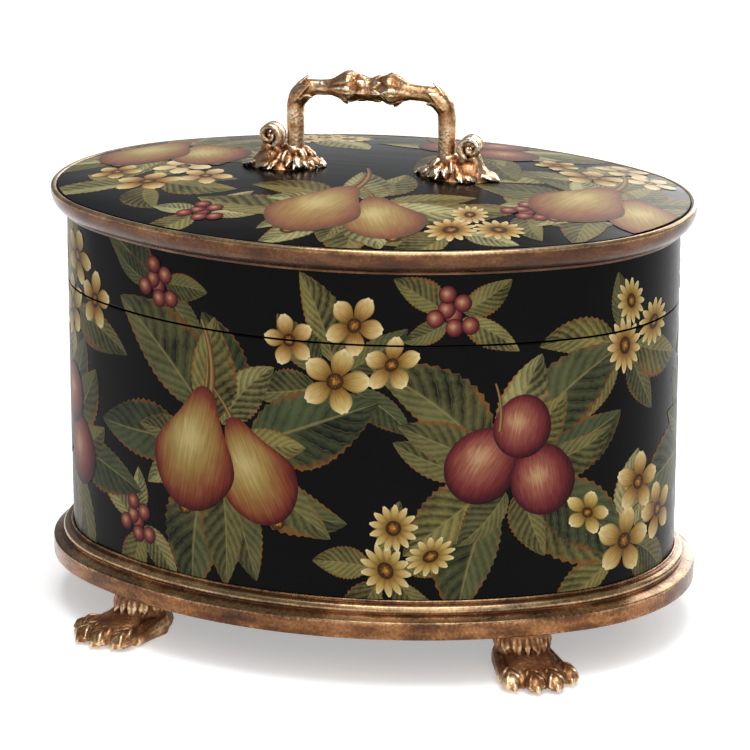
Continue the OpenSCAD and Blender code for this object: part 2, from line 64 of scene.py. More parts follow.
def on_oval(along, out):
    """Plan points in mm, out beyond the wall's face, at distances along it from the middle of the front."""
    along = np.mod(along, PERIMETER)
    turn = np.interp(along, ARC_ENDS, ARC_TURNS)
    part = np.clip(np.searchsorted(ARC_ENDS, along, side="right") - 1, 0, len(ARC_RADII) - 1)
    normal = np.stack([np.sin(turn), -np.cos(turn)], axis=-1)
    return ARC_CENTRES[part] + (ARC_RADII[part] + out)[..., None] * normal


def linear(code):
    """Linear colour of an sRGB hex value."""
    parts = [int(code[i:i + 2], 16) / 255 for i in (1, 3, 5)]
    return tuple(c / 12.92 if c <= 0.04045 else ((c + 0.055) / 1.055) ** 2.4 for c in parts) + (1.0,)


def set_inputs(node, values):
    """Fills a node's inputs by name or number. A socket is linked, and a node stands for its output in
    use."""
    for name, value in values.items():
        if isinstance(value, bpy.types.Node):
            value = next(output for output in value.outputs if output.enabled)
        if isinstance(value, bpy.types.NodeSocket):
            node.id_data.links.new(value, node.inputs[name])
        else:
            node.inputs[name].default_value = value


def add_node(tree, kind, inputs=None, **settings):
    """Adds a node with its settings, and fills or links its inputs."""
    node = tree.nodes.new(kind)
    for name, value in settings.items():
        setattr(node, name, value)
    set_inputs(node, inputs or {})
    return node


def fill_ramp(node, stops):
    """Puts the stops, as place and sRGB hex or grey level, on a colour ramp."""
    ramp = node.color_ramp
    while len(ramp.elements) < len(stops):
        ramp.elements.new(1.0)
    for element, (place, colour) in zip(ramp.elements, stops):
        element.position = place
        element.color = linear(colour) if isinstance(colour, str) else (colour, colour, colour, 1.0)
    return node.outputs["Color"]


def new_material(name):
    """An empty node material with its shader, and the shader's tree."""
    material = bpy.data.materials.new(name)
    material.use_nodes = True
    tree = material.node_tree
    return material, tree, tree.nodes["Principled BSDF"]


# Rubbed gilding: burnished leaf metal toned brown, with soft blotches some 5 by 16 mm along the moulding,
# specks under 2 mm, thin places where red bole shows, pale rubbed arrises, painted shade that darkens the
# hollows and the rim's thumb towards its lower edge, and a thin varnish.
gilding, tree, shader = new_material("Water gilding on red bole")
place = add_node(tree, "ShaderNodeTexCoord").outputs["Object"]
stretch = add_node(tree, "ShaderNodeMapping", {"Vector": place, "Scale": (60, 60, 190)})
blotch, speck, cloud = [
    add_node(tree, "ShaderNodeTexNoise", {"Vector": spread, "Scale": scale, "Detail": detail})
    for spread, scale, detail in ((stretch, 1.0, 5.0), (place, 640.0, 4.0), (place, 30.0, 3.0))]
wear = add_node(tree, "ShaderNodeAttribute", attribute_name="wear").outputs["Fac"]
tone = blotch
for part, share in ((speck, 0.55), (cloud, 0.8)):
    tone = add_node(tree, "ShaderNodeMath", {0: part, 1: share, 2: tone}, operation="MULTIPLY_ADD")
tone = add_node(tree, "ShaderNodeMapRange", {"Value": tone, "From Min": 0.88, "From Max": 1.48})
bole = add_node(tree, "ShaderNodeMath", {0: blotch, 1: cloud}, operation="ADD")
bole = add_node(tree, "ShaderNodeMapRange", {"Value": bole, "From Min": 1.06, "From Max": 1.26,
                                             "To Max": 0.6})
rub = add_node(tree, "ShaderNodeMath", {0: speck, 1: blotch}, operation="ADD")
rub = add_node(tree, "ShaderNodeMath", {0: rub, 1: 0.8, 2: wear}, operation="MULTIPLY_ADD")
rub = add_node(tree, "ShaderNodeMapRange", {"Value": rub, "From Min": 1.2, "From Max": 1.75, "To Max": 0.55})
# Painted shade: the gilding darkens where the profile's value is below 0, in the hollows and down the thumb.
painted_shade = add_node(tree, "ShaderNodeMapRange", {"Value": wear, "From Min": -0.2, "From Max": -1.0,
                                             "To Max": 0.7})
surface = fill_ramp(add_node(tree, "ShaderNodeValToRGB", {0: tone}), [
    (0.0, "#3e2212"), (0.3, "#5c351a"), (0.52, "#734824"), (0.75, "#906135"), (1.0, "#bd8d53")])
for cover, code in ((bole, "#7c4124"), (rub, "#e6c595"), (painted_shade, "#3a2012")):
    surface = add_node(tree, "ShaderNodeMix", {0: cover, 6: surface, 7: linear(code)}, data_type="RGBA")
metal_share = add_node(tree, "ShaderNodeMapRange", {"Value": bole, "To Min": 0.88, "To Max": 0.5})
dull = add_node(tree, "ShaderNodeMapRange", {"Value": tone, "To Min": 0.34, "To Max": 0.22})
relief = add_node(tree, "ShaderNodeMath", {0: speck, 1: 0.4, 2: blotch}, operation="MULTIPLY_ADD")
bump = add_node(tree, "ShaderNodeBump", {"Strength": 0.14, "Distance": 0.0004, "Height": relief})
set_inputs(shader, {"Base Color": surface, "Metallic": metal_share, "Roughness": dull, "Normal": bump,
                    "Coat Weight": 0.3, "Coat Roughness": 0.16})


def new_group(name, inputs, output):
    """An empty Geometry Nodes tree, its inputs by name, and what its input node gives. inputs lists their
    kinds."""
    group = bpy.data.node_groups.new(name, "GeometryNodeTree")
    sockets = {}
    for key, kind in inputs:
        sockets[key] = group.interface.new_socket(key, in_out="INPUT", socket_type="NodeSocket" + kind)
    group.interface.new_socket(output, in_out="OUTPUT", socket_type="NodeSocketGeometry")
    return group, sockets, add_node(group, "NodeGroupInput").outputs


def link_object(name, data):
    """A new object with its data, linked into the scene."""
    made = bpy.data.objects.new(name, data)
    bpy.context.scene.collection.objects.link(made)
    return made


def plain_mesh(source):
    """The plain mesh that an object's modifiers make of it. The object itself is removed."""
    made = bpy.data.meshes.new_from_object(source.evaluated_get(bpy.context.evaluated_depsgraph_get()))
    bpy.data.objects.remove(source)
    return made


def grow(mesh, group, sockets, values):
    """The plain mesh that a tree makes from a mesh, with the tree's inputs set by their identifiers."""
    source = link_object(mesh.name, mesh)
    modifier = source.modifiers.new(group.name, "NODES")
    modifier.node_group = group
    for key, value in values.items():
        modifier[sockets[key].identifier] = value
    return plain_mesh(source)


# One tree sweeps a closed profile round the oval; the profile's own values of wear and painted shade
# ride along to the gilding.
sweep, sweep_inputs, given = new_group("Moulding swept round the oval", (
    ("Path", "Geometry"), ("Profile", "Object"), ("Finish", "Material")), "Moulding")
path_curve = add_node(sweep, "GeometryNodeMeshToCurve", {"Mesh": given["Path"]})
profile_mesh = add_node(sweep, "GeometryNodeObjectInfo", {"Object": given["Profile"]}).outputs["Geometry"]
profile_curve = add_node(sweep, "GeometryNodeMeshToCurve", {"Mesh": profile_mesh})
swept = add_node(sweep, "GeometryNodeCurveToMesh", {"Curve": path_curve, "Profile Curve": profile_curve})
swept = add_node(sweep, "GeometryNodeRealizeInstances", {"Geometry": swept})
swept = add_node(sweep, "GeometryNodeSetMaterial", {"Geometry": swept, "Material": given["Finish"]})
add_node(sweep, "NodeGroupOutput", {"Moulding": swept})
MERGE = 1e-7


def loop_mesh(name, points):
    """A closed loop of edges through points in metres."""
    mesh = bpy.data.meshes.new(name)
    count = len(points)
    mesh.from_pydata(points, [(i, (i + 1) % count) for i in range(count)], [])
    return mesh


def place_mesh(name, mesh, sharp=35):
    """Links a mesh as an object at the origin, smooth but for edges sharper than the angle in degrees."""
    mesh.name = name
    mesh.shade_smooth()
    mesh.set_sharp_from_angle(angle=math.radians(sharp))
    return link_object(name, mesh)


def face_outwards(mesh):
    """Merges doubled points and turns every face of a closed mesh outwards."""
    work = bmesh.new()
    work.from_mesh(mesh)
    bmesh.ops.remove_doubles(work, verts=work.verts, dist=MERGE)
    bmesh.ops.dissolve_degenerate(work, edges=work.edges, dist=MERGE)
    bmesh.ops.recalc_face_normals(work, faces=work.faces)
    work.to_mesh(mesh)
    work.free()


def swept_moulding(name, profile, height):
    """A gilded moulding round the wall. profile lists distance outside the wall, height in mm, and a value
    from -1, painted shade in a hollow, to 1, rubbed wear on an edge."""
    around = 240
    plan = on_oval(np.arange(around) * PERIMETER / around, np.zeros(around)) * MM
    path = loop_mesh(name + "_path", [(x, y, height * MM) for x, y in plan])
    outline = loop_mesh(name + "_profile", [(out * MM, -up * MM, 0) for out, up, _ in profile])
    outline.attributes.new("wear", "FLOAT", "POINT").data.foreach_set("value", [w for _, _, w in profile])
    section = link_object(name + "_profile", outline)
    mesh = grow(path, sweep, sweep_inputs, {"Profile": section, "Finish": gilding})
    bpy.data.objects.remove(section)
    face_outwards(mesh)
    return place_mesh(name, mesh)


def arc(centre, radius, start, end, steps, wear_and_shade_value):
    """Profile points on an arc, angles in degrees."""
    turns = [math.radians(start + (end - start) * i / steps) for i in range(steps + 1)]
    return [(centre[0] + radius * math.cos(t), centre[1] + radius * math.sin(t), wear_and_shade_value) for t in turns]


Z_BASE = 26.0
# The third number of each point is rubbed wear above 0 and painted shade below 0, in the hollows.
base_profile = [(-17.0, 0.0, 0.0), (-4.0, 0.0, 0.0)]
base_profile += arc((10.3, 0.7), 0.7, -90, 0, 3, 0.4)
base_profile += [(11.0, 2.6, 0.1), (11.0, 4.8, 0.0), (11.0, 7.0, 0.1)]
base_profile += arc((10.3, 8.9), 0.7, 0, 68, 4, 0.6)
base_profile += [(9.6, 9.9, 0.7), (8.4, 10.33, 0.7), (7.2, 10.8, 0.6), (6.2, 11.2, 0.3), (5.4, 11.48, -0.2)]
base_profile += [(4.75, 11.72, -0.6)]
base_profile += arc((3.1, 13.9), 2.5, -50, 86, 16, 0.75)
base_profile += [(2.3, 16.5, 0.0), (1.6, 16.65, -0.4)]
base_profile += arc((0.65, 17.55), 0.65, -48, 100, 6, 0.6)
base_profile += [(0.1, 17.8, -0.6), (0.1, 6.0, 0.0), (-17.0, 6.0, 0.0)]
base = swept_moulding("base_moulding_gilt", base_profile, Z_BASE)
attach(base, "box")
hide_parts("base_moulding")

# Paw feet: four brass castings under the ring, each a clawed paw with combed fur below a round ankle. They
# are cast whole, bronzed dark, rubbed bright on the high spots with a painted highlight on the highest, and
# screwed on from inside the box.
Z_AXIS = (0.0, 0.0, 1.0)
CAP = 0.6
FULL_RELIEF = 0.108


def through(points, steps):
    """Points of a smooth curve through the given ones, as an array."""
    points = np.array(points, float)
    padded = np.concatenate([[2 * points[0] - points[1]], points, [2 * points[-1] - points[-2]]])
    place = np.linspace(0, len(points) - 1, steps + 1)
    part = np.minimum(place.astype(int), len(points) - 2)
    t = (place - part)[:, None]
    a, b, c, d = (padded[part + i] for i in range(4))
    return b + 0.5 * t * (c - a + t * (2 * a - 5 * b + 4 * c - d + t * (3 * (b - c) + d - a)))


def limb(points, wide, thick, up=Z_AXIS, steps=14, sides=14):
    """A closed rod along a smooth curve. wide and thick list its half sizes across up and along up, in
    mm."""
    path = through(points, steps)
    place = np.linspace(0, 1, steps + 1)
    wide = np.interp(place, np.linspace(0, 1, len(wide)), wide)[:, None]
    thick = np.interp(place, np.linspace(0, 1, len(thick)), thick)[:, None]
    way = np.gradient(path, axis=0)
    way /= np.linalg.norm(way, axis=1)[:, None]
    side = np.cross(np.array(up, float), way)
    side /= np.linalg.norm(side, axis=1)[:, None]
    over = np.cross(way, side)
    turns = np.arange(sides) * 2 * np.pi / sides
    rings = (path[:, None] + side[:, None] * (wide * np.cos(turns))[..., None]
             + over[:, None] * (thick * np.sin(turns))[..., None])
    ends = [path[0] - way[0] * thick[0] * CAP, path[-1] + way[-1] * thick[-1] * CAP]
    faces = []
    for i in range(steps):
        a, b = i * sides, (i + 1) * sides
        faces += [(a + j, a + (j + 1) % sides, b + (j + 1) % sides, b + j) for j in range(sides)]
    first, last = (steps + 1) * sides, (steps + 1) * sides + 1
    faces += [(first, (j + 1) % sides, j) for j in range(sides)]
    faces += [(last, steps * sides + j, steps * sides + (j + 1) % sides) for j in range(sides)]
    return np.concatenate([rings.reshape(-1, 3), ends]), faces


def blob(centre, radii):
    """A closed egg shape with its half sizes along x, y and z, in mm."""
    rings = 13
    share = np.cos(np.linspace(np.pi, 0, rings)) * 0.985
    round_off = np.sqrt(1 - share ** 2)
    centre = np.array(centre, float)
    line = centre + np.stack([share * radii[0], share * 0, share * 0], axis=1)
    return limb(line, radii[1] * round_off, radii[2] * round_off, steps=rings - 1)


def cast(shapes, voxel, soften, pits, seed, reach):
    """Fuses closed shapes into one skin, as metal fills a mould, with shallow pits left by the sand. The
    skin's relief is high on what stands out and low in the hollows, as felt over a number of rounds of
    reach."""
    points = np.concatenate([p for p, _ in shapes])
    starts = np.cumsum([0] + [len(p) for p, _ in shapes])
    faces = [tuple(start + i for i in face) for start, (_, own) in zip(starts, shapes) for face in own]
    mesh = bpy.data.meshes.new("casting")
    mesh.from_pydata((points * MM).tolist(), [], faces)
    work = link_object("casting", mesh)
    fuse = work.modifiers.new("Fuse", "REMESH")
    fuse.mode = "VOXEL"
    fuse.voxel_size = voxel * MM
    smooth = work.modifiers.new("Soften", "SMOOTH")
    smooth.iterations = soften
    skin = plain_mesh(work)
    count = len(skin.vertices)
    place = np.zeros(count * 3)
    normal = np.zeros(count * 3)
    skin.vertices.foreach_get("co", place)
    skin.vertices.foreach_get("normal", normal)
    place, normal = place.reshape(-1, 3) / MM, normal.reshape(-1, 3)
    edges = np.zeros(len(skin.edges) * 2, int)
    skin.edges.foreach_get("vertices", edges)
    near, far = edges.reshape(-1, 2).T
    links = np.bincount(near, minlength=count) + np.bincount(far, minlength=count)
    soft = place.copy()
    for _ in range(reach):
        total = np.stack([np.bincount(near, soft[far, k], count) + np.bincount(far, soft[near, k], count)
                          for k in range(3)], axis=1)
        soft = total / np.maximum(links, 1)[:, None]
    height = np.sum((place - soft) * normal, axis=1)
    relief = np.clip(height / (FULL_RELIEF * math.sqrt(reach)), -1, 1)
    shift = Vector((seed * 13.7, seed * 5.1, seed * 3.3))
    sand = np.array([noise.noise(Vector(p) * 0.75 + shift) + 0.6 * noise.noise(Vector(p) * 1.7 + shift)
                     for p in place])
    place += normal * (pits * sand)[:, None]
    skin.vertices.foreach_set("co", (place * MM).ravel())
    skin.attributes.new("relief", "FLOAT", "POINT").data.foreach_set("value", relief)
    return skin


def cast_metal(name, stops, bright, hue_spots, bare):
    """Cast brass under a dark patina: brown in the hollows, rubbed to bare metal on the high spots, with
    spots of red from the bole colour some 6 mm across and sand grain about 1 mm across. The palest,
    near-white stops on the highest spots are a painted highlight."""
    material, tree, shader = new_material(name)
    place = add_node(tree, "ShaderNodeTexCoord").outputs["Object"]
    relief = add_node(tree, "ShaderNodeAttribute", attribute_name="relief").outputs["Fac"]
    cloud, sand, spots = [
        add_node(tree, "ShaderNodeTexNoise", {"Vector": place, "Scale": scale, "Detail": detail})
        for scale, detail in ((90.0, 4.0), (900.0, 3.0), (160.0, 2.0))]
    rub = cloud
    for part, share in ((relief, 0.34), (sand, 0.4)):
        rub = add_node(tree, "ShaderNodeMath", {0: part, 1: share, 2: rub}, operation="MULTIPLY_ADD")
    # Painted highlight: the last stops of the ramp, near white, fall on the highest relief.
    colour = fill_ramp(add_node(tree, "ShaderNodeValToRGB", {0: rub}), stops)
    spots = add_node(tree, "ShaderNodeMapRange", {"Value": spots, "From Min": 0.55, "From Max": 0.7,
                                                  "To Max": hue_spots})
    colour = add_node(tree, "ShaderNodeMix", {0: spots, 6: colour, 7: linear("#7d3f22")}, data_type="RGBA")
    dull = add_node(tree, "ShaderNodeMapRange", {"Value": rub, "From Min": 0.45, "From Max": 1.05,
                                                 "To Min": 0.5, "To Max": bright})
    bump = add_node(tree, "ShaderNodeBump", {"Strength": 0.35, "Distance": 0.0003, "Height": sand})
    set_inputs(shader, {"Base Color": colour, "Roughness": dull, "Normal": bump, "Metallic": bare})
    return material


# The feet's last stop, near white, is a painted highlight on the highest spots.
bronzed = cast_metal("Bronzed cast brass", [
    (0.38, "#4d2e1b"), (0.58, "#754c30"), (0.77, "#996b44"), (0.88, "#c59a6c"), (0.98, "#f2d8b0")],
    bright=0.38, hue_spots=0.45, bare=0.8)

FOOT_HEIGHT = 26.0
SCREW_X = 102.3
SCREW_INSET = 11.5
ANKLE_OUT = 2.6
FOOT_TURN = 4.0
screw_bearing = math.acos(SCREW_X / (SIDE_RADIUS - SCREW_INSET))
foot_bearing = screw_bearing - math.radians(FOOT_TURN)
ankle_x = SCREW_X + ANKLE_OUT * math.cos(foot_bearing)
ankle_y = SCREW_X * math.tan(screw_bearing) - SIDE_CENTRE + ANKLE_OUT * math.sin(foot_bearing)
LATERAL = (0.0, 1.0, 0.0)
# Toes from the outer one inwards: reach of the claw's tip, and its place to the side of the ankle's middle.
TOES = [(33.4, -14.8), (39.6, -4.6), (40.8, 5.8), (34.6, 15.8)]
paw = [limb([(0, 0, 1.5), (-0.5, 0, 7), (0, 0, 15), (0, 0, FOOT_HEIGHT + 1)], [12.5, 15.2, 14.4, 14.8],
            [13.0, 15.4, 14.2, 14.8], up=LATERAL, sides=28)]
paw.append(blob((-7.0, 0, 7.0), (9.4, 12.6, 7.6)))
# Instep: a broad wedge that runs down from the ankle and spreads to the toes, filled out at its sides.
paw.append(limb([(-2, 0, 11), (8, 0, 9.2), (16, 0, 7.0), (27, 0, 5.2)], [13.0, 13.4, 15.2, 16.4],
                [11.0, 9.0, 6.8, 4.7], sides=24))
for way in (-1, 1):
    paw.append(limb([(-5, way * 10.2, 8.0), (6, way * 12.4, 6.2), (18, way * 15.6, 4.2)], [4.8, 4.8, 4.0],
                    [8.4, 6.4, 4.4]))
webs = [((a[0] + b[0]) / 2, (a[1] + b[1]) / 2) for a, b in zip(TOES, TOES[1:])]
for reach, aside in webs:
    paw.append(limb([(reach - 19, aside * 0.9, 7.0), (reach - 11, aside, 5.6), (reach - 7, aside, 3.8)],
                    [4.4, 4.2, 3.2], [4.2, 4.0, 3.0], up=LATERAL))
for reach, aside in TOES:
    paw.append(limb([(reach - 18, aside * 0.88, 5.8), (reach - 10, aside, 5.3), (reach - 6, aside, 4.5),
                     (reach - 4.2, aside, 2.8)], [3.9, 4.5, 4.2, 2.9], [5.0, 5.4, 5.1, 3.9], up=LATERAL))
    paw.append(limb([(reach - 5.8, aside, 5.0), (reach - 2.6, aside, 4.0), (reach - 0.9, aside, 2.0)],
                    [2.1, 1.8, 0.8], [2.1, 1.7, 0.8], up=LATERAL))
    # Folds of skin: a pair that frames the claw, and a pair on the knuckle behind it.
    for way in (-1, 1):
        paw.append(limb([(reach - 9.0, aside + way * 0.7, 9.4), (reach - 5.6, aside + way * 2.9, 8.0),
                         (reach - 3.4, aside + way * 4.1, 4.4)], [0.6, 1.0, 0.6], [0.6, 0.9, 0.6]))
        paw.append(limb([(reach - 15.2, aside * 0.92 + way * 0.7, 10.0),
                         (reach - 12.2, aside * 0.96 + way * 2.6, 9.5),
                         (reach - 9.6, aside + way * 4.0, 7.8)], [0.5, 0.9, 0.5], [0.5, 0.8, 0.5]))
# Fur: long wavy locks combed down the ankle and out over the instep, fullest in front.
fur_draw = random.Random(4)
lock_count = 19
fur_span = 224
for number in range(lock_count):
    turn = math.radians(fur_span * number / (lock_count - 1) - fur_span / 2 + fur_draw.uniform(-4, 4))
    facing = max(math.cos(turn), 0)
    swell = fur_draw.uniform(0.4, 1.4) * (0.4 + 0.6 * facing)
    sway = fur_draw.uniform(-3.0, 3.0)
    end = fur_draw.uniform(12.4, 15.2)
    way = np.array([math.cos(turn), math.sin(turn), 0])
    across = np.array([-math.sin(turn), math.cos(turn), 0])
    up_way = np.array([0, 0, 1])
    lock = [way * 13.5 + up_way * 25.6, way * (14.0 + 0.4 * swell) + up_way * 21.4 - across * sway * 0.2,
            way * (14.1 + swell) + up_way * 17.6 + across * sway * 0.3,
            way * (13.8 + 2.8 * facing ** 4) + up_way * end + across * sway]
    paw.append(limb(lock, [0.8, 1.4, 1.7, 0.4], [0.4, 0.9, 1.1, 0.4], up=way, steps=14, sides=10))
paw_skin = cast(paw, voxel=0.5, soften=2, pits=0.12, seed=1, reach=9)
paw_place = np.array([v.co for v in paw_skin.vertices]) / MM
paw_place[:, 2] = np.clip(paw_place[:, 2], 0.0, FOOT_HEIGHT - 0.02)
for side_name, along in (("left", -1), ("right", 1)):
    for end_name, across in (("front", -1), ("rear", 1)):
        mesh = paw_skin.copy()
        turn = math.atan2(across * math.sin(foot_bearing), along * math.cos(foot_bearing))
        mirrored = -along * across
        forward = np.array([math.cos(turn), math.sin(turn)])
        sideways = mirrored * np.array([-math.sin(turn), math.cos(turn)])
        plan = np.outer(paw_place[:, 0], forward) + np.outer(paw_place[:, 1], sideways)
        plan += np.array([along * ankle_x, across * ankle_y])
        mesh.vertices.foreach_set("co", (np.column_stack([plan, paw_place[:, 2]]) * MM).ravel())
        if mirrored < 0:
            mesh.flip_normals()
        mesh.materials.append(bronzed)
        foot = place_mesh("paw_foot_" + end_name + "_" + side_name + "_cast", mesh, sharp=80)
        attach(foot, "box")
        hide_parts("paw_foot_" + end_name + "_" + side_name)

# Wall: a bent strip of wood, japanned in black with many rubbed coats, standing on the base's inner shelf.
# Its top edge is let in at the back for two brass hinges, and its inside is only stained and waxed. The
# lacquer has a faint mottle some 25 mm wide, and brush lines about 4 mm apart in its soft gloss.
lacquer, tree, shader = new_material("Black japan lacquer")
place = add_node(tree, "ShaderNodeTexCoord").outputs["Object"]
mottle = add_node(tree, "ShaderNodeTexNoise", {"Vector": place, "Scale": 40.0, "Detail": 4.0})
stretch = add_node(tree, "ShaderNodeMapping", {"Vector": place, "Scale": (16, 260, 260)})
brushed = add_node(tree, "ShaderNodeTexNoise", {"Vector": stretch, "Scale": 1.0, "Detail": 4.0})
black = fill_ramp(add_node(tree, "ShaderNodeValToRGB", {0: mottle}), [(0.3, "#040404"), (0.75, "#080707")])
gloss = add_node(tree, "ShaderNodeMapRange", {"Value": brushed, "From Min": 0.3, "From Max": 0.7,
                                              "To Min": 0.2, "To Max": 0.28})
bump = add_node(tree, "ShaderNodeBump", {"Strength": 0.03, "Distance": 0.0006, "Height": brushed})
set_inputs(shader, {"Base Color": black, "Roughness": gloss, "Normal": bump, "Specular IOR Level": 0.06})

# The stain shows grain lines about 4 mm apart round the wall, under a dull wax.
stain, tree, shader = new_material("Brown stained and waxed wood")
place = add_node(tree, "ShaderNodeTexCoord").outputs["Object"]
stretch = add_node(tree, "ShaderNodeMapping", {"Vector": place, "Scale": (20, 20, 260)})
grain = add_node(tree, "ShaderNodeTexNoise", {"Vector": stretch, "Scale": 1.0, "Detail": 6.0})
brown = fill_ramp(add_node(tree, "ShaderNodeValToRGB", {0: grain}), [(0.3, "#1d130d"), (0.7, "#3b281b")])
bump = add_node(tree, "ShaderNodeBump", {"Strength": 0.2, "Distance": 0.0005, "Height": grain})
set_inputs(shader, {"Base Color": brown, "Roughness": 0.48, "Normal": bump})

WALL = 7.0
Z_SHELF = 32.0
Z_SEAM = 179.7
HINGE_PLACES = (-28.0, 28.0)
NOTCH_HALF = 12.2
NOTCH_CLEAR = 0.4
NOTCH_STEP = 1e-6
LEAF = 1.25


def ring_wall(name, section, inside, notch_z=None, notch_up=True):
    """A band round the oval with a section of (out, z) points. Faces that start at the points listed in
    inside are stained. notch_z cuts the hinge recesses at the back, from the top edge, or from the bottom
    one."""
    around = 288
    columns = [(i * PERIMETER / around, False) for i in range(around)]
    back = PERIMETER / 2
    if notch_z is not None:
        edges = []
        for middle in HINGE_PLACES:
            for end in (-NOTCH_HALF, NOTCH_HALF):
                edges.append(back - SIDE_RADIUS * math.asin((middle + end) / SIDE_RADIUS))
        edges.sort()
        spans = [(edges[0], edges[1]), (edges[2], edges[3])]
        columns = [(s, any(a < s < b for a, b in spans)) for s, _ in columns
                   if all(abs(s - e) > NOTCH_CLEAR for e in edges)]
        for a, b in spans:
            columns += [(a, False), (a + NOTCH_STEP, True), (b - NOTCH_STEP, True), (b, False)]
        columns.sort()
    points = []
    for along, cut in columns:
        for out, z in section:
            if cut:
                z = min(z, notch_z) if notch_up else max(z, notch_z)
            x, y = on_oval(np.array([along]), np.array([out]))[0]
            points.append((x * MM, y * MM, z * MM))
    rows = len(section)
    faces = []
    stained = []
    for i in range(len(columns)):
        a, b = i * rows, (i + 1) % len(columns) * rows
        for j in range(rows):
            k = (j + 1) % rows
            faces.append((a + j, b + j, b + k, a + k))
            stained.append(1 if j in inside else 0)
    mesh = bpy.data.meshes.new(name)
    mesh.from_pydata(points, [], faces)
    mesh.materials.append(lacquer)
    mesh.materials.append(stain)
    mesh.polygons.foreach_set("material_index", stained)
    face_outwards(mesh)
    return place_mesh(name, mesh)


wall = ring_wall("body_wall_lacquer", [
    (-WALL, Z_SHELF), (0, Z_SHELF), (0, 60), (0, 100), (0, 140), (0, Z_SEAM - LEAF), (0, Z_SEAM - 0.5),
    (-0.15, Z_SEAM - 0.15), (-0.5, Z_SEAM), (-WALL + 0.5, Z_SEAM), (-WALL, Z_SEAM - 0.5),
    (-WALL, Z_SEAM - LEAF)], inside=(9, 10, 11), notch_z=Z_SEAM - LEAF, notch_up=True)
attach(wall, "box")
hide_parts("body_wall")

# Lip: a thin strip of wood glued inside the wall, standing above the seam so that the lid drops on in line.
lip = ring_wall("locating_lip_wood", [
    (-10.4, Z_SEAM - 22), (-7.1, Z_SEAM - 22), (-7.1, Z_SEAM - 1), (-7.4, Z_SEAM - 0.9), (-7.4, Z_SEAM + 6.2),
    (-7.8, Z_SEAM + 6.8), (-8.4, Z_SEAM + 7), (-9.4, Z_SEAM + 7), (-10.0, Z_SEAM + 6.8),
    (-10.4, Z_SEAM + 6.2)], inside=range(10))
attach(lip, "box")
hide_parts("locating_lip")

# Bottom panel and foot screws: a plain stained board dropped on the ring's shelf, and four steel screws
# driven down through it into the feet. The steel is bright, with scuffs about 1.5 mm across.
steel, tree, shader = new_material("Bright drawn steel")
place = add_node(tree, "ShaderNodeTexCoord").outputs["Object"]
scuff = add_node(tree, "ShaderNodeTexNoise", {"Vector": place, "Scale": 700.0, "Detail": 4.0})
grey = fill_ramp(add_node(tree, "ShaderNodeValToRGB", {0: scuff}), [(0.3, "#77746f"), (0.7, "#b3b0aa")])
dull = add_node(tree, "ShaderNodeMapRange", {"Value": scuff, "To Min": 0.24, "To Max": 0.42})
set_inputs(shader, {"Base Color": grey, "Roughness": dull, "Metallic": 1.0})


def dress(node, material):
    """Gives a carried-over solid its finish."""
    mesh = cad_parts[node].data
    mesh.materials.clear()
    mesh.materials.append(material)


dress("bottom_panel", stain)
dress("foot_screws", steel)

# Hinges: two brass butt hinges let into the back of the seam, with steel pins and sunk brass screws. The
# brass is drawn, with fine lines about 1 mm apart, and has dulled in brown spots of tarnish some 3 mm
# across.
hinge_brass, tree, shader = new_material("Drawn brass")
place = add_node(tree, "ShaderNodeTexCoord").outputs["Object"]
stretch = add_node(tree, "ShaderNodeMapping", {"Vector": place, "Scale": (60, 900, 900)})
drawn = add_node(tree, "ShaderNodeTexNoise", {"Vector": stretch, "Scale": 1.0, "Detail": 3.0})
tarnish = add_node(tree, "ShaderNodeTexNoise", {"Vector": place, "Scale": 300.0, "Detail": 4.0})
yellow = fill_ramp(add_node(tree, "ShaderNodeValToRGB", {0: drawn}), [(0.3, "#a07a42"), (0.7, "#c79f5f")])
spots = add_node(tree, "ShaderNodeMapRange", {"Value": tarnish, "From Min": 0.52, "From Max": 0.66,
                                              "To Max": 0.7})
yellow = add_node(tree, "ShaderNodeMix", {0: spots, 6: yellow, 7: linear("#5d4224")}, data_type="RGBA")
dull = add_node(tree, "ShaderNodeMapRange", {"Value": spots, "To Min": 0.3, "To Max": 0.5})
bump = add_node(tree, "ShaderNodeBump", {"Strength": 0.1, "Distance": 0.0002, "Height": drawn})
set_inputs(shader, {"Base Color": yellow, "Roughness": dull, "Normal": bump, "Metallic": 1.0})
for side_name in ("left", "right"):
    dress("hinge_leaf_lower_" + side_name, hinge_brass)
    dress("hinge_leaf_upper_" + side_name, hinge_brass)
    dress("hinge_pin_" + side_name, steel)
dress("lower_hinge_screws", hinge_brass)
dress("upper_hinge_screws", hinge_brass)

# Lid: a deep skirt bent and japanned like the wall, with hinge recesses in its lower edge.
Z_LID = 180.2
Z_RIM = 231.3
Z_PANEL = 224.3
skirt = ring_wall("lid_skirt_lacquer", [
    (-WALL, Z_LID + 0.5), (-WALL + 0.5, Z_LID), (-0.5, Z_LID), (-0.15, Z_LID + 0.15), (0, Z_LID + 0.5),
    (0, Z_LID + LEAF), (0, 200), (0, Z_PANEL), (-WALL, Z_PANEL), (-WALL, 200), (-WALL, Z_LID + LEAF)],
    inside=(0, 8, 9, 10), notch_z=Z_LID + LEAF, notch_up=False)
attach(skirt, "lid")
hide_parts("lid_skirt")

# Rim moulding: gilded like the base, a rounded top edge over a thumb moulding that runs in to the skirt. It
# laps the edge of the top panel.
rim_profile = [(0.1, -14.0, -0.5), (0.9, -14.0, -0.6), (1.3, -13.75, -0.6)]
thumb_drop, thumb_run = 11.3, 7.5
thumb_turn = 2 * math.degrees(math.atan2(thumb_run, thumb_drop))
thumb_radius = thumb_drop / math.sin(math.radians(thumb_turn))
thumb = arc((8.4 - thumb_radius, -1.8), thumb_radius, -thumb_turn + 4, -4, 12, 0)
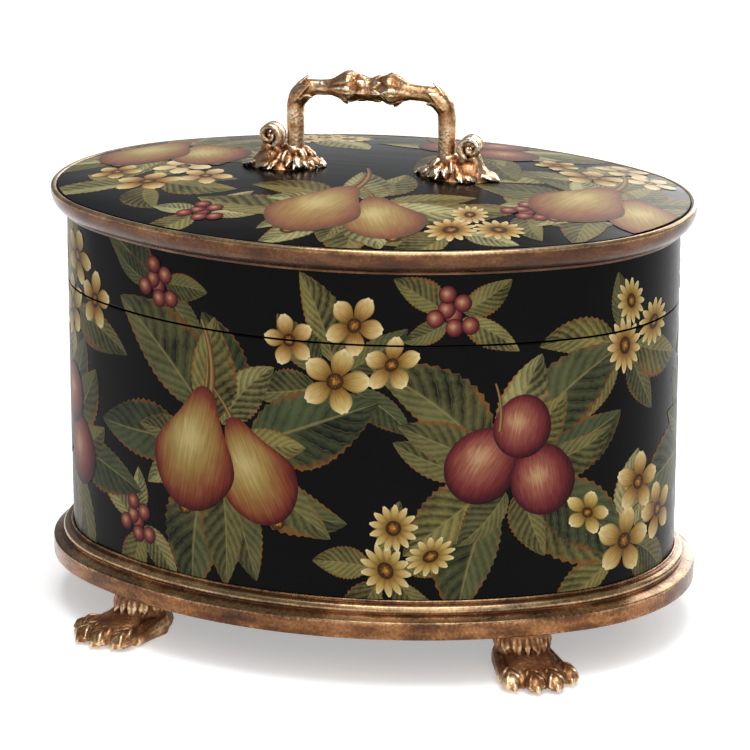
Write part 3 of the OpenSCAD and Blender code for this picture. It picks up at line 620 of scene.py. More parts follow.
# The thumb's value falls towards its lower edge, so painted shade darkens it downwards.
rim_profile += [(x, y, -0.72 + 0.03 * y) for x, y, _ in thumb]
rim_profile += arc((6.6, -1.8), 1.8, 4, 172, 10, 0.8)
rim_profile += [(4.8, -2.4, -0.4), (4.8, -7.0, 0.0), (0.1, -7.0, 0.0)]
rim = swept_moulding("rim_moulding_gilt", rim_profile, Z_RIM)
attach(rim, "lid")
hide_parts("rim_moulding")

# Top panel: a domed board let into the rim, lacquered above and stained below. Each ring of the dome is the
# panel's outline drawn smaller, and the rise falls off with the square of the ring's share.
PANEL_OUT = 4.7
DOME_RISE = 10.8
dome_rings = 30
dome_around = 288
edge = on_oval(np.arange(dome_around) * PERIMETER / dome_around, np.full(dome_around, PANEL_OUT))
points = [(0, 0, (Z_RIM + DOME_RISE) * MM)]
for ring in range(1, dome_rings + 1):
    share = ring / dome_rings
    rise = DOME_RISE * (1 - share * share)
    points += [(x * share * MM, y * share * MM, (Z_RIM + rise) * MM) for x, y in edge]
points += [(x * MM, y * MM, Z_PANEL * MM) for x, y in edge]
faces = [(0, 1 + i, 1 + (i + 1) % dome_around) for i in range(dome_around)]
for ring in range(dome_rings):
    a, b = 1 + ring * dome_around, 1 + (ring + 1) * dome_around
    for i in range(dome_around):
        k = (i + 1) % dome_around
        faces.append((a + i, b + i, b + k, a + k))
faces.append(tuple(1 + dome_rings * dome_around + i for i in reversed(range(dome_around))))
mesh = bpy.data.meshes.new("lid_top_panel_lacquer")
mesh.from_pydata(points, [], faces)
mesh.materials.append(lacquer)
mesh.materials.append(stain)
mesh.polygons[len(faces) - 1].material_index = 1
face_outwards(mesh)
panel = place_mesh("lid_top_panel_lacquer", mesh)
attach(panel, "lid")
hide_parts("lid_top_panel")

# Painted design: fruit, blossom and leaves in oil colours on the black ground, under the same varnish. It
# is a plain botanical design, laid out flat in mm, twice round the wall and once over the top, and then
# wrapped on. Each motif is a thin skin of paint, a fiftieth of a millimetre over what it overlaps.
PAINT_LIFT = 0.06
PAINT_COAT = 0.022
PAINT_MERGE = 1e-6
CELL = 2.0


def add_motif(layout, kind, flat, faces, spots, tone, rim=None):
    """Adds a painted motif: flat points, faces, each point's spot on it from 0 to 1, its tone and its
    rim."""
    rim = np.zeros(len(flat)) if rim is None else rim
    layout.append({"kind": kind, "flat": flat, "faces": faces, "spots": spots, "tone": tone, "rim": rim})


def grid_faces(rows, columns):
    """Quads of a grid of points, row by row."""
    wide = columns + 1
    return [(r * wide + c, r * wide + c + 1, (r + 1) * wide + c + 1, (r + 1) * wide + c)
            for r in range(rows) for c in range(columns)]


def bent_line(root, heading, length, bend, steps):
    """Points and headings of a line that leaves root at a heading and turns evenly by bend, in degrees."""
    turns = np.radians(heading + bend * np.linspace(0, 1, steps + 1))
    step = length / steps * np.stack([np.cos(turns), np.sin(turns)], axis=1)
    root = np.array(root, float)
    return np.concatenate([[root], root + np.cumsum((step[1:] + step[:-1]) / 2, axis=0)]), turns


def strip(line, turns, half, shares):
    """Points across a line at the given shares of its half width."""
    across = np.stack([-np.sin(turns), np.cos(turns)], axis=1)
    flat = line[:, None] + across[:, None] * (half[:, None] * shares[None])[..., None]
    return flat.reshape(-1, 2)


def grid_spots(rows, columns):
    """Each grid point's place across and along, from 0 to 1."""
    across, along = np.meshgrid(np.linspace(0, 1, columns + 1), np.linspace(0, 1, rows + 1))
    return np.stack([across, along], axis=-1).reshape(-1, 2)


def paint_leaf(layout, root, heading, length, width, bend, tone, lean):
    """A pointed leaf with a toothed edge. lean narrows one half, as on a leaf seen a little from the
    side."""
    rows, columns = 30, 10
    line, turns = bent_line(root, heading, length, bend, rows)
    along = np.linspace(0, 1, rows + 1)
    # Widest a little below the middle, with a tooth at every second row.
    half = width / 2 * np.sin(np.pi * along ** 0.78) ** 0.82
    half *= np.where(np.arange(rows + 1) % 2, 1.05, 0.96)
    across = np.linspace(-1, 1, columns + 1)
    shares = np.where(across > 0, across * (1 - lean), across * (1 + 0.4 * lean))
    add_motif(layout, "leaf", strip(line, turns, half, shares), grid_faces(rows, columns),
              grid_spots(rows, columns), tone)


def paint_stem(layout, root, heading, length, bend, width, tone):
    """A tapering stalk along a bent line."""
    rows = max(6, int(length / 2.5))
    line, turns = bent_line(root, heading, length, bend, rows)
    half = width / 2 * (1 - 0.55 * np.linspace(0, 1, rows + 1))
    add_motif(layout, "stem", strip(line, turns, half, np.linspace(-1, 1, 3)), grid_faces(rows, 2),
              grid_spots(rows, 2), tone)


def paint_disc(layout, kind, centre, wide, tall, heading, neck, tone, around=52, rings=9):
    """A round fruit or a blossom's heart. neck draws its outline in towards the stalk, which is at
    heading."""
    turns = np.linspace(0, 2 * np.pi, around, endpoint=False)
    rise = np.clip((np.cos(turns) + 0.35) / 1.05, 0, 1)
    draw = 1 - neck * rise * rise * (3 - 2 * rise)
    outline = np.stack([wide * np.sin(turns) * draw, tall * np.cos(turns)], axis=1)
    hub = np.array([0, -0.3 * tall * neck])
    shares = np.linspace(1 / rings, 1, rings)
    flat = np.concatenate([[hub]] + [hub + (outline - hub) * share for share in shares])
    rim = np.concatenate([[0]] + [np.full(around, share) for share in shares])
    spots = flat / np.array([2 * wide, 2 * tall]) + 0.5
    turn = math.radians(heading - 90)
    spin = np.array([[math.cos(turn), math.sin(turn)], [-math.sin(turn), math.cos(turn)]])
    faces = [(0, 1 + (i + 1) % around, 1 + i) for i in range(around)]
    for ring in range(rings - 1):
        a, b = 1 + ring * around, 1 + (ring + 1) * around
        faces += [(a + i, a + (i + 1) % around, b + (i + 1) % around, b + i) for i in range(around)]
    add_motif(layout, kind, flat @ spin + np.array(centre, float), faces, spots, tone, rim)


# Oil colours: laid on with a small brush, so each has fine strokes, and all have the gloss of the varnish
# over them. A leaf has a light and a dark half, paler veins 3 to 8 mm apart and dry, rusty edges.
OILS = {}


def oil_colour(kind, name):
    """A new oil colour for a kind of motif: its tree, its shader, and the motif's tone, rim and spot."""
    OILS[kind], tree, shader = new_material("Oil paint, " + name)
    set_inputs(shader, {"Roughness": 0.34, "Specular IOR Level": 0.08})
    motif = {key: add_node(tree, "ShaderNodeAttribute", attribute_name=key).outputs["Fac"]
             for key in ("tone", "rim")}
    motif["spot"] = add_node(tree, "ShaderNodeUVMap", uv_map="motif")
    return tree, shader, motif


tree, shader, motif = oil_colour("leaf", "leaf green")
place = add_node(tree, "ShaderNodeTexCoord").outputs["Object"]
stroke = add_node(tree, "ShaderNodeTexNoise", {"Vector": place, "Scale": 420.0, "Detail": 3.0})
patch = add_node(tree, "ShaderNodeTexNoise", {"Vector": place, "Scale": 55.0, "Detail": 3.0})
split = add_node(tree, "ShaderNodeSeparateXYZ", {0: motif["spot"]}).outputs
across = add_node(tree, "ShaderNodeMath", {0: split["X"], 1: 2.0, 2: -1.0}, operation="MULTIPLY_ADD")
aside = add_node(tree, "ShaderNodeMath", {0: across}, operation="ABSOLUTE")
vein_place = add_node(tree, "ShaderNodeMath", {0: aside, 1: -0.26, 2: split["Y"]}, operation="MULTIPLY_ADD")
vein_place = add_node(tree, "ShaderNodeMath", {0: vein_place, 1: 9.0}, operation="MULTIPLY")
vein_place = add_node(tree, "ShaderNodeMath", {0: vein_place}, operation="FRACT")
pillow = fill_ramp(add_node(tree, "ShaderNodeValToRGB", {0: vein_place}), [
    (0.0, 0.15), (0.2, 0.4), (0.7, 0.95), (0.9, 0.6), (1.0, 0.15)])
half_lit = add_node(tree, "ShaderNodeMapRange", {"Value": across, "From Min": -0.1, "From Max": 0.1})
light = patch
for part, share in ((half_lit, 0.34), (pillow, 0.66), (stroke, 0.5)):
    light = add_node(tree, "ShaderNodeMath", {0: part, 1: share, 2: light}, operation="MULTIPLY_ADD")
light = add_node(tree, "ShaderNodeMapRange", {"Value": light, "From Min": 0.84, "From Max": 1.74})
shade_green = fill_ramp(add_node(tree, "ShaderNodeValToRGB", {0: motif["tone"]}), [
    (0.0, "#0d120b"), (0.35, "#15190d"), (0.6, "#1e1c0e"), (1.0, "#38391f")])
light_green = fill_ramp(add_node(tree, "ShaderNodeValToRGB", {0: motif["tone"]}), [
    (0.0, "#4a5236"), (0.35, "#716b40"), (0.6, "#877c47"), (1.0, "#b2ac7b")])
vein = fill_ramp(add_node(tree, "ShaderNodeValToRGB", {0: vein_place}), [
    (0.0, 0.75), (0.07, 0.0), (0.95, 0.0), (1.0, 0.75)])
vein = add_node(tree, "ShaderNodeMath", {0: vein, 1: 0.4}, operation="MULTIPLY")
rib = add_node(tree, "ShaderNodeMapRange", {"Value": aside, "From Min": 0.02, "From Max": 0.055,
                                            "To Min": 0.6, "To Max": 0.0})
vein = add_node(tree, "ShaderNodeMath", {0: vein, 1: rib}, operation="MAXIMUM")
dry = add_node(tree, "ShaderNodeMath", {0: patch, 1: 0.7, 2: aside}, operation="MULTIPLY_ADD")
dry = add_node(tree, "ShaderNodeMapRange", {"Value": dry, "From Min": 1.2, "From Max": 1.42, "To Max": 0.85})
colour = shade_green
for cover, over in ((light, light_green), (vein, linear("#857b4c")), (dry, linear("#7a4a20"))):
    colour = add_node(tree, "ShaderNodeMix", {0: cover, 6: colour, 7: over}, data_type="RGBA")
set_inputs(shader, {"Base Color": colour})

tree, shader, motif = oil_colour("stem", "twig brown")
across = add_node(tree, "ShaderNodeSeparateXYZ", {0: motif["spot"]}).outputs["X"]
set_inputs(shader, {"Base Color": fill_ramp(add_node(tree, "ShaderNodeValToRGB", {0: across}), [
    (0.0, "#3a2718"), (0.45, "#7b5a34"), (0.6, "#a07c4a"), (1.0, "#3d2a18")])})

# Fruit: glazed from a straw-coloured light to a deep red shadow, with strokes that follow it from stalk to
# eye.
for kind, stops in (
        ("pear", [(0.0, "#bba76f"), (0.22, "#9a8048"), (0.42, "#875c33"), (0.6, "#743524"), (0.8, "#501b18"),
                  (1.0, "#260c0b")]),
        ("plum", [(0.0, "#b68f6a"), (0.2, "#905543"), (0.45, "#6d2b2b"), (0.7, "#45161b"),
                  (1.0, "#1e090c")])):
    tree, shader, motif = oil_colour(kind, kind)
    place = add_node(tree, "ShaderNodeTexCoord").outputs["Object"]
    away = add_node(tree, "ShaderNodeVectorMath", {0: motif["spot"], 1: (0.42, 0.56, 0.0)},
                    operation="DISTANCE")
    strokes = add_node(tree, "ShaderNodeMapping", {"Vector": motif["spot"], "Scale": (46, 4.0, 1)})
    strokes = add_node(tree, "ShaderNodeTexNoise", {"Vector": strokes, "Scale": 1.0, "Detail": 3.0})
    patch = add_node(tree, "ShaderNodeTexNoise", {"Vector": place, "Scale": 70.0, "Detail": 3.0})
    turned = add_node(tree, "ShaderNodeMath", {0: motif["rim"], 1: 7.0}, operation="POWER")
    depth = -0.36
    for part, share in ((away, 1.25), (strokes, 0.42), (patch, 0.25), (turned, 0.25)):
        depth = add_node(tree, "ShaderNodeMath", {0: part, 1: share, 2: depth}, operation="MULTIPLY_ADD")
    colour = fill_ramp(add_node(tree, "ShaderNodeValToRGB", {0: depth}), stops)
    # Painted light: where the tone runs high, on the top panel, the fruit is mixed towards pale straw.
    fruit_painted_top_light = add_node(tree, "ShaderNodeMapRange", {"Value": motif["tone"], "From Min": 0.6, "From Max": 0.9,
                                                  "To Max": 0.12})
    colour = add_node(tree, "ShaderNodeMix", {0: fruit_painted_top_light, 6: colour, 7: linear("#c9b48a")}, data_type="RGBA")
    set_inputs(shader, {"Base Color": colour})

# Petals: cream or peach, ochre towards the heart, with fine strokes and darker sides. On the lid's top
# panel they are paler: painted light, standing in for the stronger light there.
tree, shader, motif = oil_colour("petal", "petal cream")
split = add_node(tree, "ShaderNodeSeparateXYZ", {0: motif["spot"]}).outputs
strokes = add_node(tree, "ShaderNodeMapping", {"Vector": motif["spot"], "Scale": (22, 3, 1)})
strokes = add_node(tree, "ShaderNodeTexNoise", {"Vector": strokes, "Scale": 1.0, "Detail": 3.0})
level = add_node(tree, "ShaderNodeMath", {0: strokes, 1: 0.55, 2: split["Y"]}, operation="MULTIPLY_ADD")
level = add_node(tree, "ShaderNodeMath", {0: level, 1: 0.26}, operation="SUBTRACT")
cream = fill_ramp(add_node(tree, "ShaderNodeValToRGB", {0: level}), [
    (0.0, "#3f2e0e"), (0.22, "#7c5d23"), (0.45, "#a08342"), (0.75, "#bda566"), (1.0, "#dccb9c")])
peach = fill_ramp(add_node(tree, "ShaderNodeValToRGB", {0: level}), [
    (0.0, "#452410"), (0.3, "#83532b"), (0.6, "#b48d58"), (1.0, "#dcc594")])
# Painted light: where the tone runs high, on the top panel, the petals are mixed towards pale cream.
petal_painted_top_light = add_node(tree, "ShaderNodeMapRange", {"Value": motif["tone"], "From Min": 0.6, "From Max": 1.0,
                                             "To Max": 0.6})
across = add_node(tree, "ShaderNodeMath", {0: split["X"], 1: 2.0, 2: -1.0}, operation="MULTIPLY_ADD")
aside = add_node(tree, "ShaderNodeMath", {0: across}, operation="ABSOLUTE")
dark = add_node(tree, "ShaderNodeMapRange", {"Value": aside, "From Min": 0.72, "From Max": 1.0,
                                             "To Max": 0.55})
colour = cream
for cover, over in ((motif["tone"], peach), (petal_painted_top_light, linear("#f3e4b4")), (dark, linear("#6a4c22"))):
    colour = add_node(tree, "ShaderNodeMix", {0: cover, 6: colour, 7: over}, data_type="RGBA")
set_inputs(shader, {"Base Color": colour})

# Hearts: stippled in yellow and brown, with dots about 1 mm apart.
tree, shader, motif = oil_colour("heart", "stamen ochre")
place = add_node(tree, "ShaderNodeTexCoord").outputs["Object"]
stipple = add_node(tree, "ShaderNodeTexVoronoi", {"Vector": place, "Scale": 900.0}).outputs["Distance"]
level = add_node(tree, "ShaderNodeMath", {0: stipple, 1: 0.6, 2: motif["rim"]}, operation="MULTIPLY_ADD")
set_inputs(shader, {"Base Color": fill_ramp(add_node(tree, "ShaderNodeValToRGB", {0: level}), [
    (0.0, "#d9b85e"), (0.4, "#a9772c"), (0.8, "#6a3f18"), (1.0, "#3c2410")])})

# Blossoms: one tree sets petals round a heart, and such a blossom on each centre at its own size and turn.
bloom, bloom_inputs, given = new_group("Petals round blossom hearts", (
    ("Centres", "Geometry"), ("Petal", "Object"), ("Petals", "Int"), ("Heart radius", "Float"),
    ("Colour", "Material")), "Blossoms")
petal_mesh = add_node(bloom, "GeometryNodeObjectInfo", {"Object": given["Petal"]}).outputs["Geometry"]
heart_ring = add_node(bloom, "GeometryNodeMeshCircle", {"Vertices": given["Petals"],
                                                        "Radius": given["Heart radius"]})
number = add_node(bloom, "GeometryNodeInputIndex")
share = add_node(bloom, "ShaderNodeMath", {0: number, 1: given["Petals"]}, operation="DIVIDE")
turn = add_node(bloom, "ShaderNodeMath", {0: share, 1: 2 * math.pi}, operation="MULTIPLY")
petal_turn = add_node(bloom, "ShaderNodeCombineXYZ", {"Z": turn})
blossom = add_node(bloom, "GeometryNodeInstanceOnPoints", {
    "Points": heart_ring, "Instance": petal_mesh, "Rotation": petal_turn})
blossom = add_node(bloom, "GeometryNodeRealizeInstances", {"Geometry": blossom})
own_turn, own_size = [
    add_node(bloom, "GeometryNodeInputNamedAttribute", {"Name": name}, data_type="FLOAT_VECTOR")
    for name in ("turn", "size")]
blossoms = add_node(bloom, "GeometryNodeInstanceOnPoints", {
    "Points": given["Centres"], "Instance": blossom, "Rotation": own_turn, "Scale": own_size})
blossoms = add_node(bloom, "GeometryNodeRealizeInstances", {"Geometry": blossoms})
blossoms = add_node(bloom, "GeometryNodeSetMaterial", {"Geometry": blossoms, "Material": given["Colour"]})
add_node(bloom, "NodeGroupOutput", {"Blossoms": blossoms})


def petal_shape(name, wide, notch):
    """One petal of unit length along X from the heart, widest past its middle, with a notch in its tip."""
    rows, columns = 8, 6
    spots = grid_spots(rows, columns)
    across, along = 2 * spots[:, 0] - 1, spots[:, 1]
    half = wide / 2 * np.sin(np.pi * (0.05 + 0.86 * along ** 1.25)) ** 0.7
    out = along * (1 - notch * (1 - np.abs(across)) * along ** 4 - 0.1 * across ** 4 * along)
    mesh = bpy.data.meshes.new(name)
    mesh.from_pydata([(x, y, 0) for x, y in zip(out, -half * across)], [], grid_faces(rows, columns))
    layer = mesh.uv_layers.new(name="motif")
    layer.uv.foreach_set("vector", spots[[loop.vertex_index for loop in mesh.loops]].ravel())
    return link_object(name, mesh)


ROSE = (petal_shape("petal_rose", 0.7, 0.07), 5, 0.12, 0.27)
DAISY = (petal_shape("petal_daisy", 0.36, 0.06), 13, 0.16, 0.36)


def paint_blossoms(layout, kind, centres):
    """Blossoms of a kind at centres of (along, up, reach, tilt, turn, tone), each with its heart painted
    last."""
    petal, count, heart, heart_wide = kind
    mesh = bpy.data.meshes.new("blossom_centres")
    mesh.from_pydata([(c[0], c[1], 0) for c in centres], [], [])
    for key, values in (("size", [n for c in centres for n in (c[2], c[2] * c[3], 1)]),
                        ("turn", [n for c in centres for n in (0, 0, math.radians(c[4]))])):
        mesh.attributes.new(key, "FLOAT_VECTOR", "POINT").data.foreach_set("vector", values)
    made = grow(mesh, bloom, bloom_inputs, {"Petal": petal, "Petals": count, "Heart radius": heart,
                                            "Colour": OILS["petal"]})
    flat = np.array([v.co for v in made.vertices])[:, :2]
    spots = np.zeros((len(flat), 2))
    corner_spots = made.uv_layers["motif"].uv
    for loop in made.loops:
        spots[loop.vertex_index] = corner_spots[loop.index].vector
    faces = np.array([list(p.vertices) for p in made.polygons])
    own = len(flat) // len(centres)
    for number, (along, up, reach, tilt, turn, tone) in enumerate(centres):
        first = number * own
        mine = faces[(faces[:, 0] >= first) & (faces[:, 0] < first + own)] - first
        add_motif(layout, "petal", flat[first:first + own], mine.tolist(), spots[first:first + own], tone)
        wide = reach * heart_wide
        paint_disc(layout, "heart", (along, up), wide * tilt, wide, turn, neck=0.0, tone=tone, around=18,
                   rings=3)
    bpy.data.meshes.remove(made)


def leaf_fan(layout, draw, centre, start, count, first, length, tone):
    """Leaves that spread all round a centre from a first heading in degrees, each drawn a little
    differently."""
    for number in range(count):
        heading = first + 360 * (number + 0.5 + draw.uniform(-0.36, 0.36)) / count
        way = np.array([math.cos(math.radians(heading)), math.sin(math.radians(heading))])
        long = length * draw.uniform(0.7, 1.2)
        paint_leaf(layout, np.array(centre) + way * start, heading + draw.uniform(-16, 16), long,
                   long * draw.uniform(0.44, 0.6), draw.uniform(-42, 42),
                   min(max(tone + draw.uniform(-0.3, 0.3), 0), 1), draw.uniform(0.05, 0.4))


# Fans of leaves behind each kind of group: start, count, largest first heading, share of the length and
# tone.
FANS = {"pears": ((20, 7, 45, 1.1, -0.3), (13, 7, 45, 0.9, 0)),
        "plums": ((17, 7, 45, 1.1, -0.3), (11, 7, 45, 0.9, 0)),
        "roses": ((10, 6, 60, 1, 0),), "daisies": ((8, 5, 72, 1, 0),), "berries": ((5, 4, 90, 1, 0),)}
# Blossoms of a group: their shape, the place and reach of each, the least tilt and the largest tone.
SPRAYS = {"roses": (ROSE, ((0, 0, 17.5), (29, 10, 15), (10, 30, 15.5), (-24, 20, 13)), 0.78, 0.6),
          "daisies": (DAISY, ((0, 0, 13.5), (23, 8, 12), (4, 23, 11.5)), 0.7, 0.5)}
# Fruits of a group: place, half width, half height and the stalk's heading.
PEARS = ((22, -10, 23, 30, 116), (-13, -3, 27, 35, 78))
PLUMS = ((-15, 4, 19, 21, 60), (17, -5, 17.5, 19.5, 100), (6, 24, 15.5, 17, 80))
BERRY_COUNT = 7
BERRY_SPACE = 4.6
GOLDEN_ANGLE = 137.5


def paint_cluster(leaves, heads, draw, kind, centre, length, tone):
    """A group of pears on a twig, plums, dog-roses, daisies or berries, with the leaves that spread behind
    it."""
    x, y = centre
    for start, count, first, longer, lighter in FANS[kind]:
        leaf_fan(leaves, draw, centre, start, count, draw.uniform(0, first), length * longer, tone + lighter)
    if kind == "pears":
        paint_stem(heads, (x - 4, y + 22), heading=75, length=46, bend=40, width=4.6, tone=0.5)
        for side, rise, wide, tall, heading in PEARS:
            way = np.array([math.cos(math.radians(heading)), math.sin(math.radians(heading))])
            middle = np.array([x + side, y + rise])
            paint_disc(heads, "heart", middle - way * tall, wide=4.2, tall=3.2, heading=heading, neck=0.0,
                       tone=0.5, around=12, rings=2)
            paint_stem(heads, middle + way * (tall - 3), heading - 4, length=20, bend=24, width=2.8, tone=0.5)
            paint_disc(heads, "pear", middle, wide, tall, heading, neck=0.5, tone=tone)
    if kind == "plums":
        for side, rise, wide, tall, heading in PLUMS:
            paint_disc(heads, "plum", (x + side, y + rise), wide, tall, heading, neck=0.06, tone=tone)
        paint_stem(heads, (x - 6, y + 22), heading=80, length=26, bend=30, width=2.4, tone=0.5)
    if kind in SPRAYS:
        shape, spread, least_tilt, most_tone = SPRAYS[kind]
        # Painted light: top groups, with a tone over 0.6, raise their blossoms' tone so they paint paler.
        painted_top_light_tone = max(tone - 0.6, 0) * 1.5
        paint_blossoms(heads, shape, [
            (x + side, y + rise, reach, draw.uniform(least_tilt, 1.0), draw.uniform(0, 360),
             draw.uniform(0, most_tone) + painted_top_light_tone) for side, rise, reach in spread])
    if kind == "berries":
        for number in range(BERRY_COUNT):
            turn = math.radians(number * GOLDEN_ANGLE)
            out = BERRY_SPACE * math.sqrt(number)
            berry = (x + out * math.cos(turn), y + out * math.sin(turn))
            paint_disc(heads, "plum", berry, wide=4.6, tall=4.8, heading=90, neck=0.0, tone=0.5,
                       around=20, rings=3)


def stack_motifs(layout, around=None):
    """Gives each motif the lowest coat that lies over all that it overlaps, found on a grid of small
    cells."""
    coats = {}
    for motif in layout:
        cells = set()
        for x, y in motif["flat"]:
            column = round((x % around if around else x) / CELL)
            row = round(y / CELL)
            cells.update((column + i, row + j) for i in (-1, 0, 1) for j in (-1, 0, 1))
        motif["coat"] = 1 + max(coats.get(cell, -1) for cell in cells)
        coats.update((cell, motif["coat"]) for cell in cells)


def paint_piece(name, layout, kinds, place_point, cuts, body, shifts=(0.0,)):
    """Makes one painted skin from a layout's motifs of some kinds. cuts are flat lines that it is trimmed
    to, as a point and the way out, and place_point turns flat points and their height into places in mm."""
    points, faces, spots, tone, rim, colours = [], [], [], [], [], []
    start = 0
    for motif in layout:
        if motif["kind"] not in kinds:
            continue
        for shift in shifts:
            flat = motif["flat"] + np.array([shift, 0])
            outside = any(np.all((flat - np.array(at)) @ np.array(out) > 0) for at, out in cuts)
            if outside:
                continue
            height = np.full(len(flat), PAINT_LIFT + PAINT_COAT * motif["coat"])
            points.append(np.column_stack([flat, height]))
            faces += [tuple(start + i for i in face) for face in motif["faces"]]
            colours += [kinds.index(motif["kind"])] * len(motif["faces"])
            spots.append(motif["spots"])
            tone.append(np.full(len(flat), motif["tone"]))
            rim.append(motif["rim"])
            start += len(flat)
    mesh = bpy.data.meshes.new(name)
    mesh.from_pydata(np.concatenate(points).tolist(), [], faces)
    mesh.attributes.new("tone", "FLOAT", "POINT").data.foreach_set("value", np.concatenate(tone))
    mesh.attributes.new("rim", "FLOAT", "POINT").data.foreach_set("value", np.concatenate(rim))
    layer = mesh.uv_layers.new(name="motif")
    spots = np.concatenate(spots)
    layer.uv.foreach_set("vector", spots[[loop.vertex_index for loop in mesh.loops]].ravel())
    mesh.polygons.foreach_set("material_index", colours)
    work = bmesh.new()
    work.from_mesh(mesh)
    for at, out in cuts:
        every = work.verts[:] + work.edges[:] + work.faces[:]
        bmesh.ops.bisect_plane(work, geom=every, plane_co=(at[0], at[1], 0), plane_no=(out[0], out[1], 0),
                               clear_outer=True)
    flat = np.array([v.co for v in work.verts])
    for vert, spot in zip(work.verts, place_point(flat) * MM):
        vert.co = spot
    bmesh.ops.dissolve_degenerate(work, edges=work.edges, dist=PAINT_MERGE)
    work.normal_update()
    inward = [face for face in work.faces if face.normal.dot(outward_at(face.calc_center_median())) < 0]
    bmesh.ops.reverse_faces(work, faces=inward)
    work.to_mesh(mesh)
    work.free()
    for kind in kinds:
        mesh.materials.append(OILS[kind])
    piece = place_mesh(name, mesh, sharp=180)
    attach(piece, body)


def outward_at(point):
    """The way out of the box at a painted point: up on the dome, and away from the middle on the wall."""
    if point.z > Z_RIM * MM:
        return Vector((0, 0, 1))
    return Vector((point.x, point.y * 2, 0))


def on_wall(flat):
    """Places on the wall of flat points given as along, height and lift."""
    return np.column_stack([on_oval(flat[:, 0], flat[:, 2]), flat[:, 1]])


# One half of the wall's design, as kind, distance along from the middle of that half, height, leaf length
# and tone.
WALL_GROUPS = [
    ("roses", 14, 160, 46, 0.35), ("berries", -106, 66, 34, 0.6), ("daisies", 40, 60, 36, 0.55),
    ("roses", -168, 170, 44, 0.5), ("daisies", 168, 172, 38, 0.3), ("berries", 74, 196, 32, 0.4),
    ("plums", -176, 98, 54, 0.3), ("roses", 170, 66, 42, 0.6), ("berries", -88, 198, 36, 0.3),
    ("pears", -52, 118, 60, 0.45), ("plums", 104, 112, 58, 0.55)]
HALF_WAY = PERIMETER / 2
FOLIAGE = ("leaf", "stem")
FRUIT = ("pear", "plum", "petal", "heart")
wall_leaves, wall_heads = [], []
for half in range(2):
    draw = random.Random(20 + half)
    for kind, along, up, length, tone in WALL_GROUPS:
        paint_cluster(wall_leaves, wall_heads, draw, kind, (half * HALF_WAY + along, up), length, tone)
wall_layout = wall_leaves + wall_heads
stack_motifs(wall_layout, PERIMETER)
TURNS = (-PERIMETER, 0.0, PERIMETER)
SEAM_ROOM = 0.3
HINGE_ROOM = 1.5
QUARTER = PERIMETER / 4
Z_BEAD = 44.4
Z_THUMB = 217.2
for side_name, middle, room in (("front", 0.0, SEAM_ROOM), ("back", HALF_WAY, HINGE_ROOM)):
    ends = [((middle - QUARTER, 0), (-1, 0)), ((middle + QUARTER, 0), (1, 0))]
    lower = ends + [((0, Z_BEAD), (0, -1)), ((0, Z_SEAM - room), (0, 1))]
    upper = ends + [((0, Z_LID + room), (0, -1)), ((0, Z_THUMB), (0, 1))]
    for part_name, kinds in (("foliage", FOLIAGE), ("fruit_and_blossom", FRUIT)):
        paint_piece("wall_" + side_name + "_" + part_name, wall_layout, kinds, on_wall, lower, "box", TURNS)
        paint_piece("lid_" + side_name + "_" + part_name, wall_layout, kinds, on_wall, upper, "lid", TURNS)

# The top's design spreads round the handle to the rim, where the painted skins end at the panel's edge.
EDGE_TURNS = np.arctan2(edge[:, 1], edge[:, 0])
EDGE_ORDER = np.argsort(EDGE_TURNS)
EDGE_REACH = np.hypot(edge[:, 0], edge[:, 1])
EDGE_HOLD = 0.998


def edge_reach(x, y):
    """Distance from the middle of the top to the panel's edge, on the way to a point."""
    return np.interp(np.arctan2(y, x), EDGE_TURNS[EDGE_ORDER], EDGE_REACH[EDGE_ORDER], period=2 * math.pi)


def on_top(flat):
    """Places on the dome of flat points given as x, y and lift, held back at the panel's edge."""
    share = np.hypot(flat[:, 0], flat[:, 1]) / edge_reach(flat[:, 0], flat[:, 1])
    hold = np.where(share > EDGE_HOLD, EDGE_HOLD / np.maximum(share, EDGE_HOLD), 1.0)
    share = np.minimum(share, EDGE_HOLD)
    height = Z_RIM + DOME_RISE * (1 - share ** 2) + flat[:, 2]
    return np.column_stack([flat[:, 0] * hold, flat[:, 1] * hold, height])


def dome_height(x, y):
    """Height of the top's surface at a plan point, in mm."""
    share = math.hypot(x, y) / float(edge_reach(x, y))
    return Z_RIM + DOME_RISE * (1 - share * share)


# The top's groups, as kind, place, leaf length and tone. Their high tones paint the top's petals and fruit
# paler, as painted light.
TOP_GROUPS = [
    ("roses", -112, -36, 44, 0.8), ("berries", -66, -84, 34, 0.9), ("daisies", 66, -84, 38, 0.8),
    ("roses", 112, 34, 46, 0.9), ("berries", 96, -46, 36, 0.7), ("daisies", -60, 78, 40, 0.9),
    ("pears", 132, -14, 44, 0.8), ("pears", 6, -66, 52, 0.9), ("plums", 40, 74, 50, 0.8),
    ("pears", -120, 36, 50, 0.8)]
top_leaves, top_heads = [], []
draw = random.Random(31)
for kind, x, y, length, tone in TOP_GROUPS:
    paint_cluster(top_leaves, top_heads, draw, kind, (x, y), length, tone)
top_layout = top_leaves + top_heads
for motif in top_layout:
    reach = edge_reach(motif["flat"][:, 0], motif["flat"][:, 1])
    inside = np.hypot(motif["flat"][:, 0], motif["flat"][:, 1]) < reach
    motif["faces"] = [face for face in motif["faces"] if any(inside[list(face)])]
top_layout = [motif for motif in top_layout if motif["faces"]]
stack_motifs(top_layout)
for part_name, kinds in (("foliage", FOLIAGE), ("fruit_and_blossom", FRUIT)):
    paint_piece("top_" + part_name, top_layout, kinds, on_top, [], "lid")
for petal in (ROSE[0], DAISY[0]):
    bpy.data.objects.remove(petal)

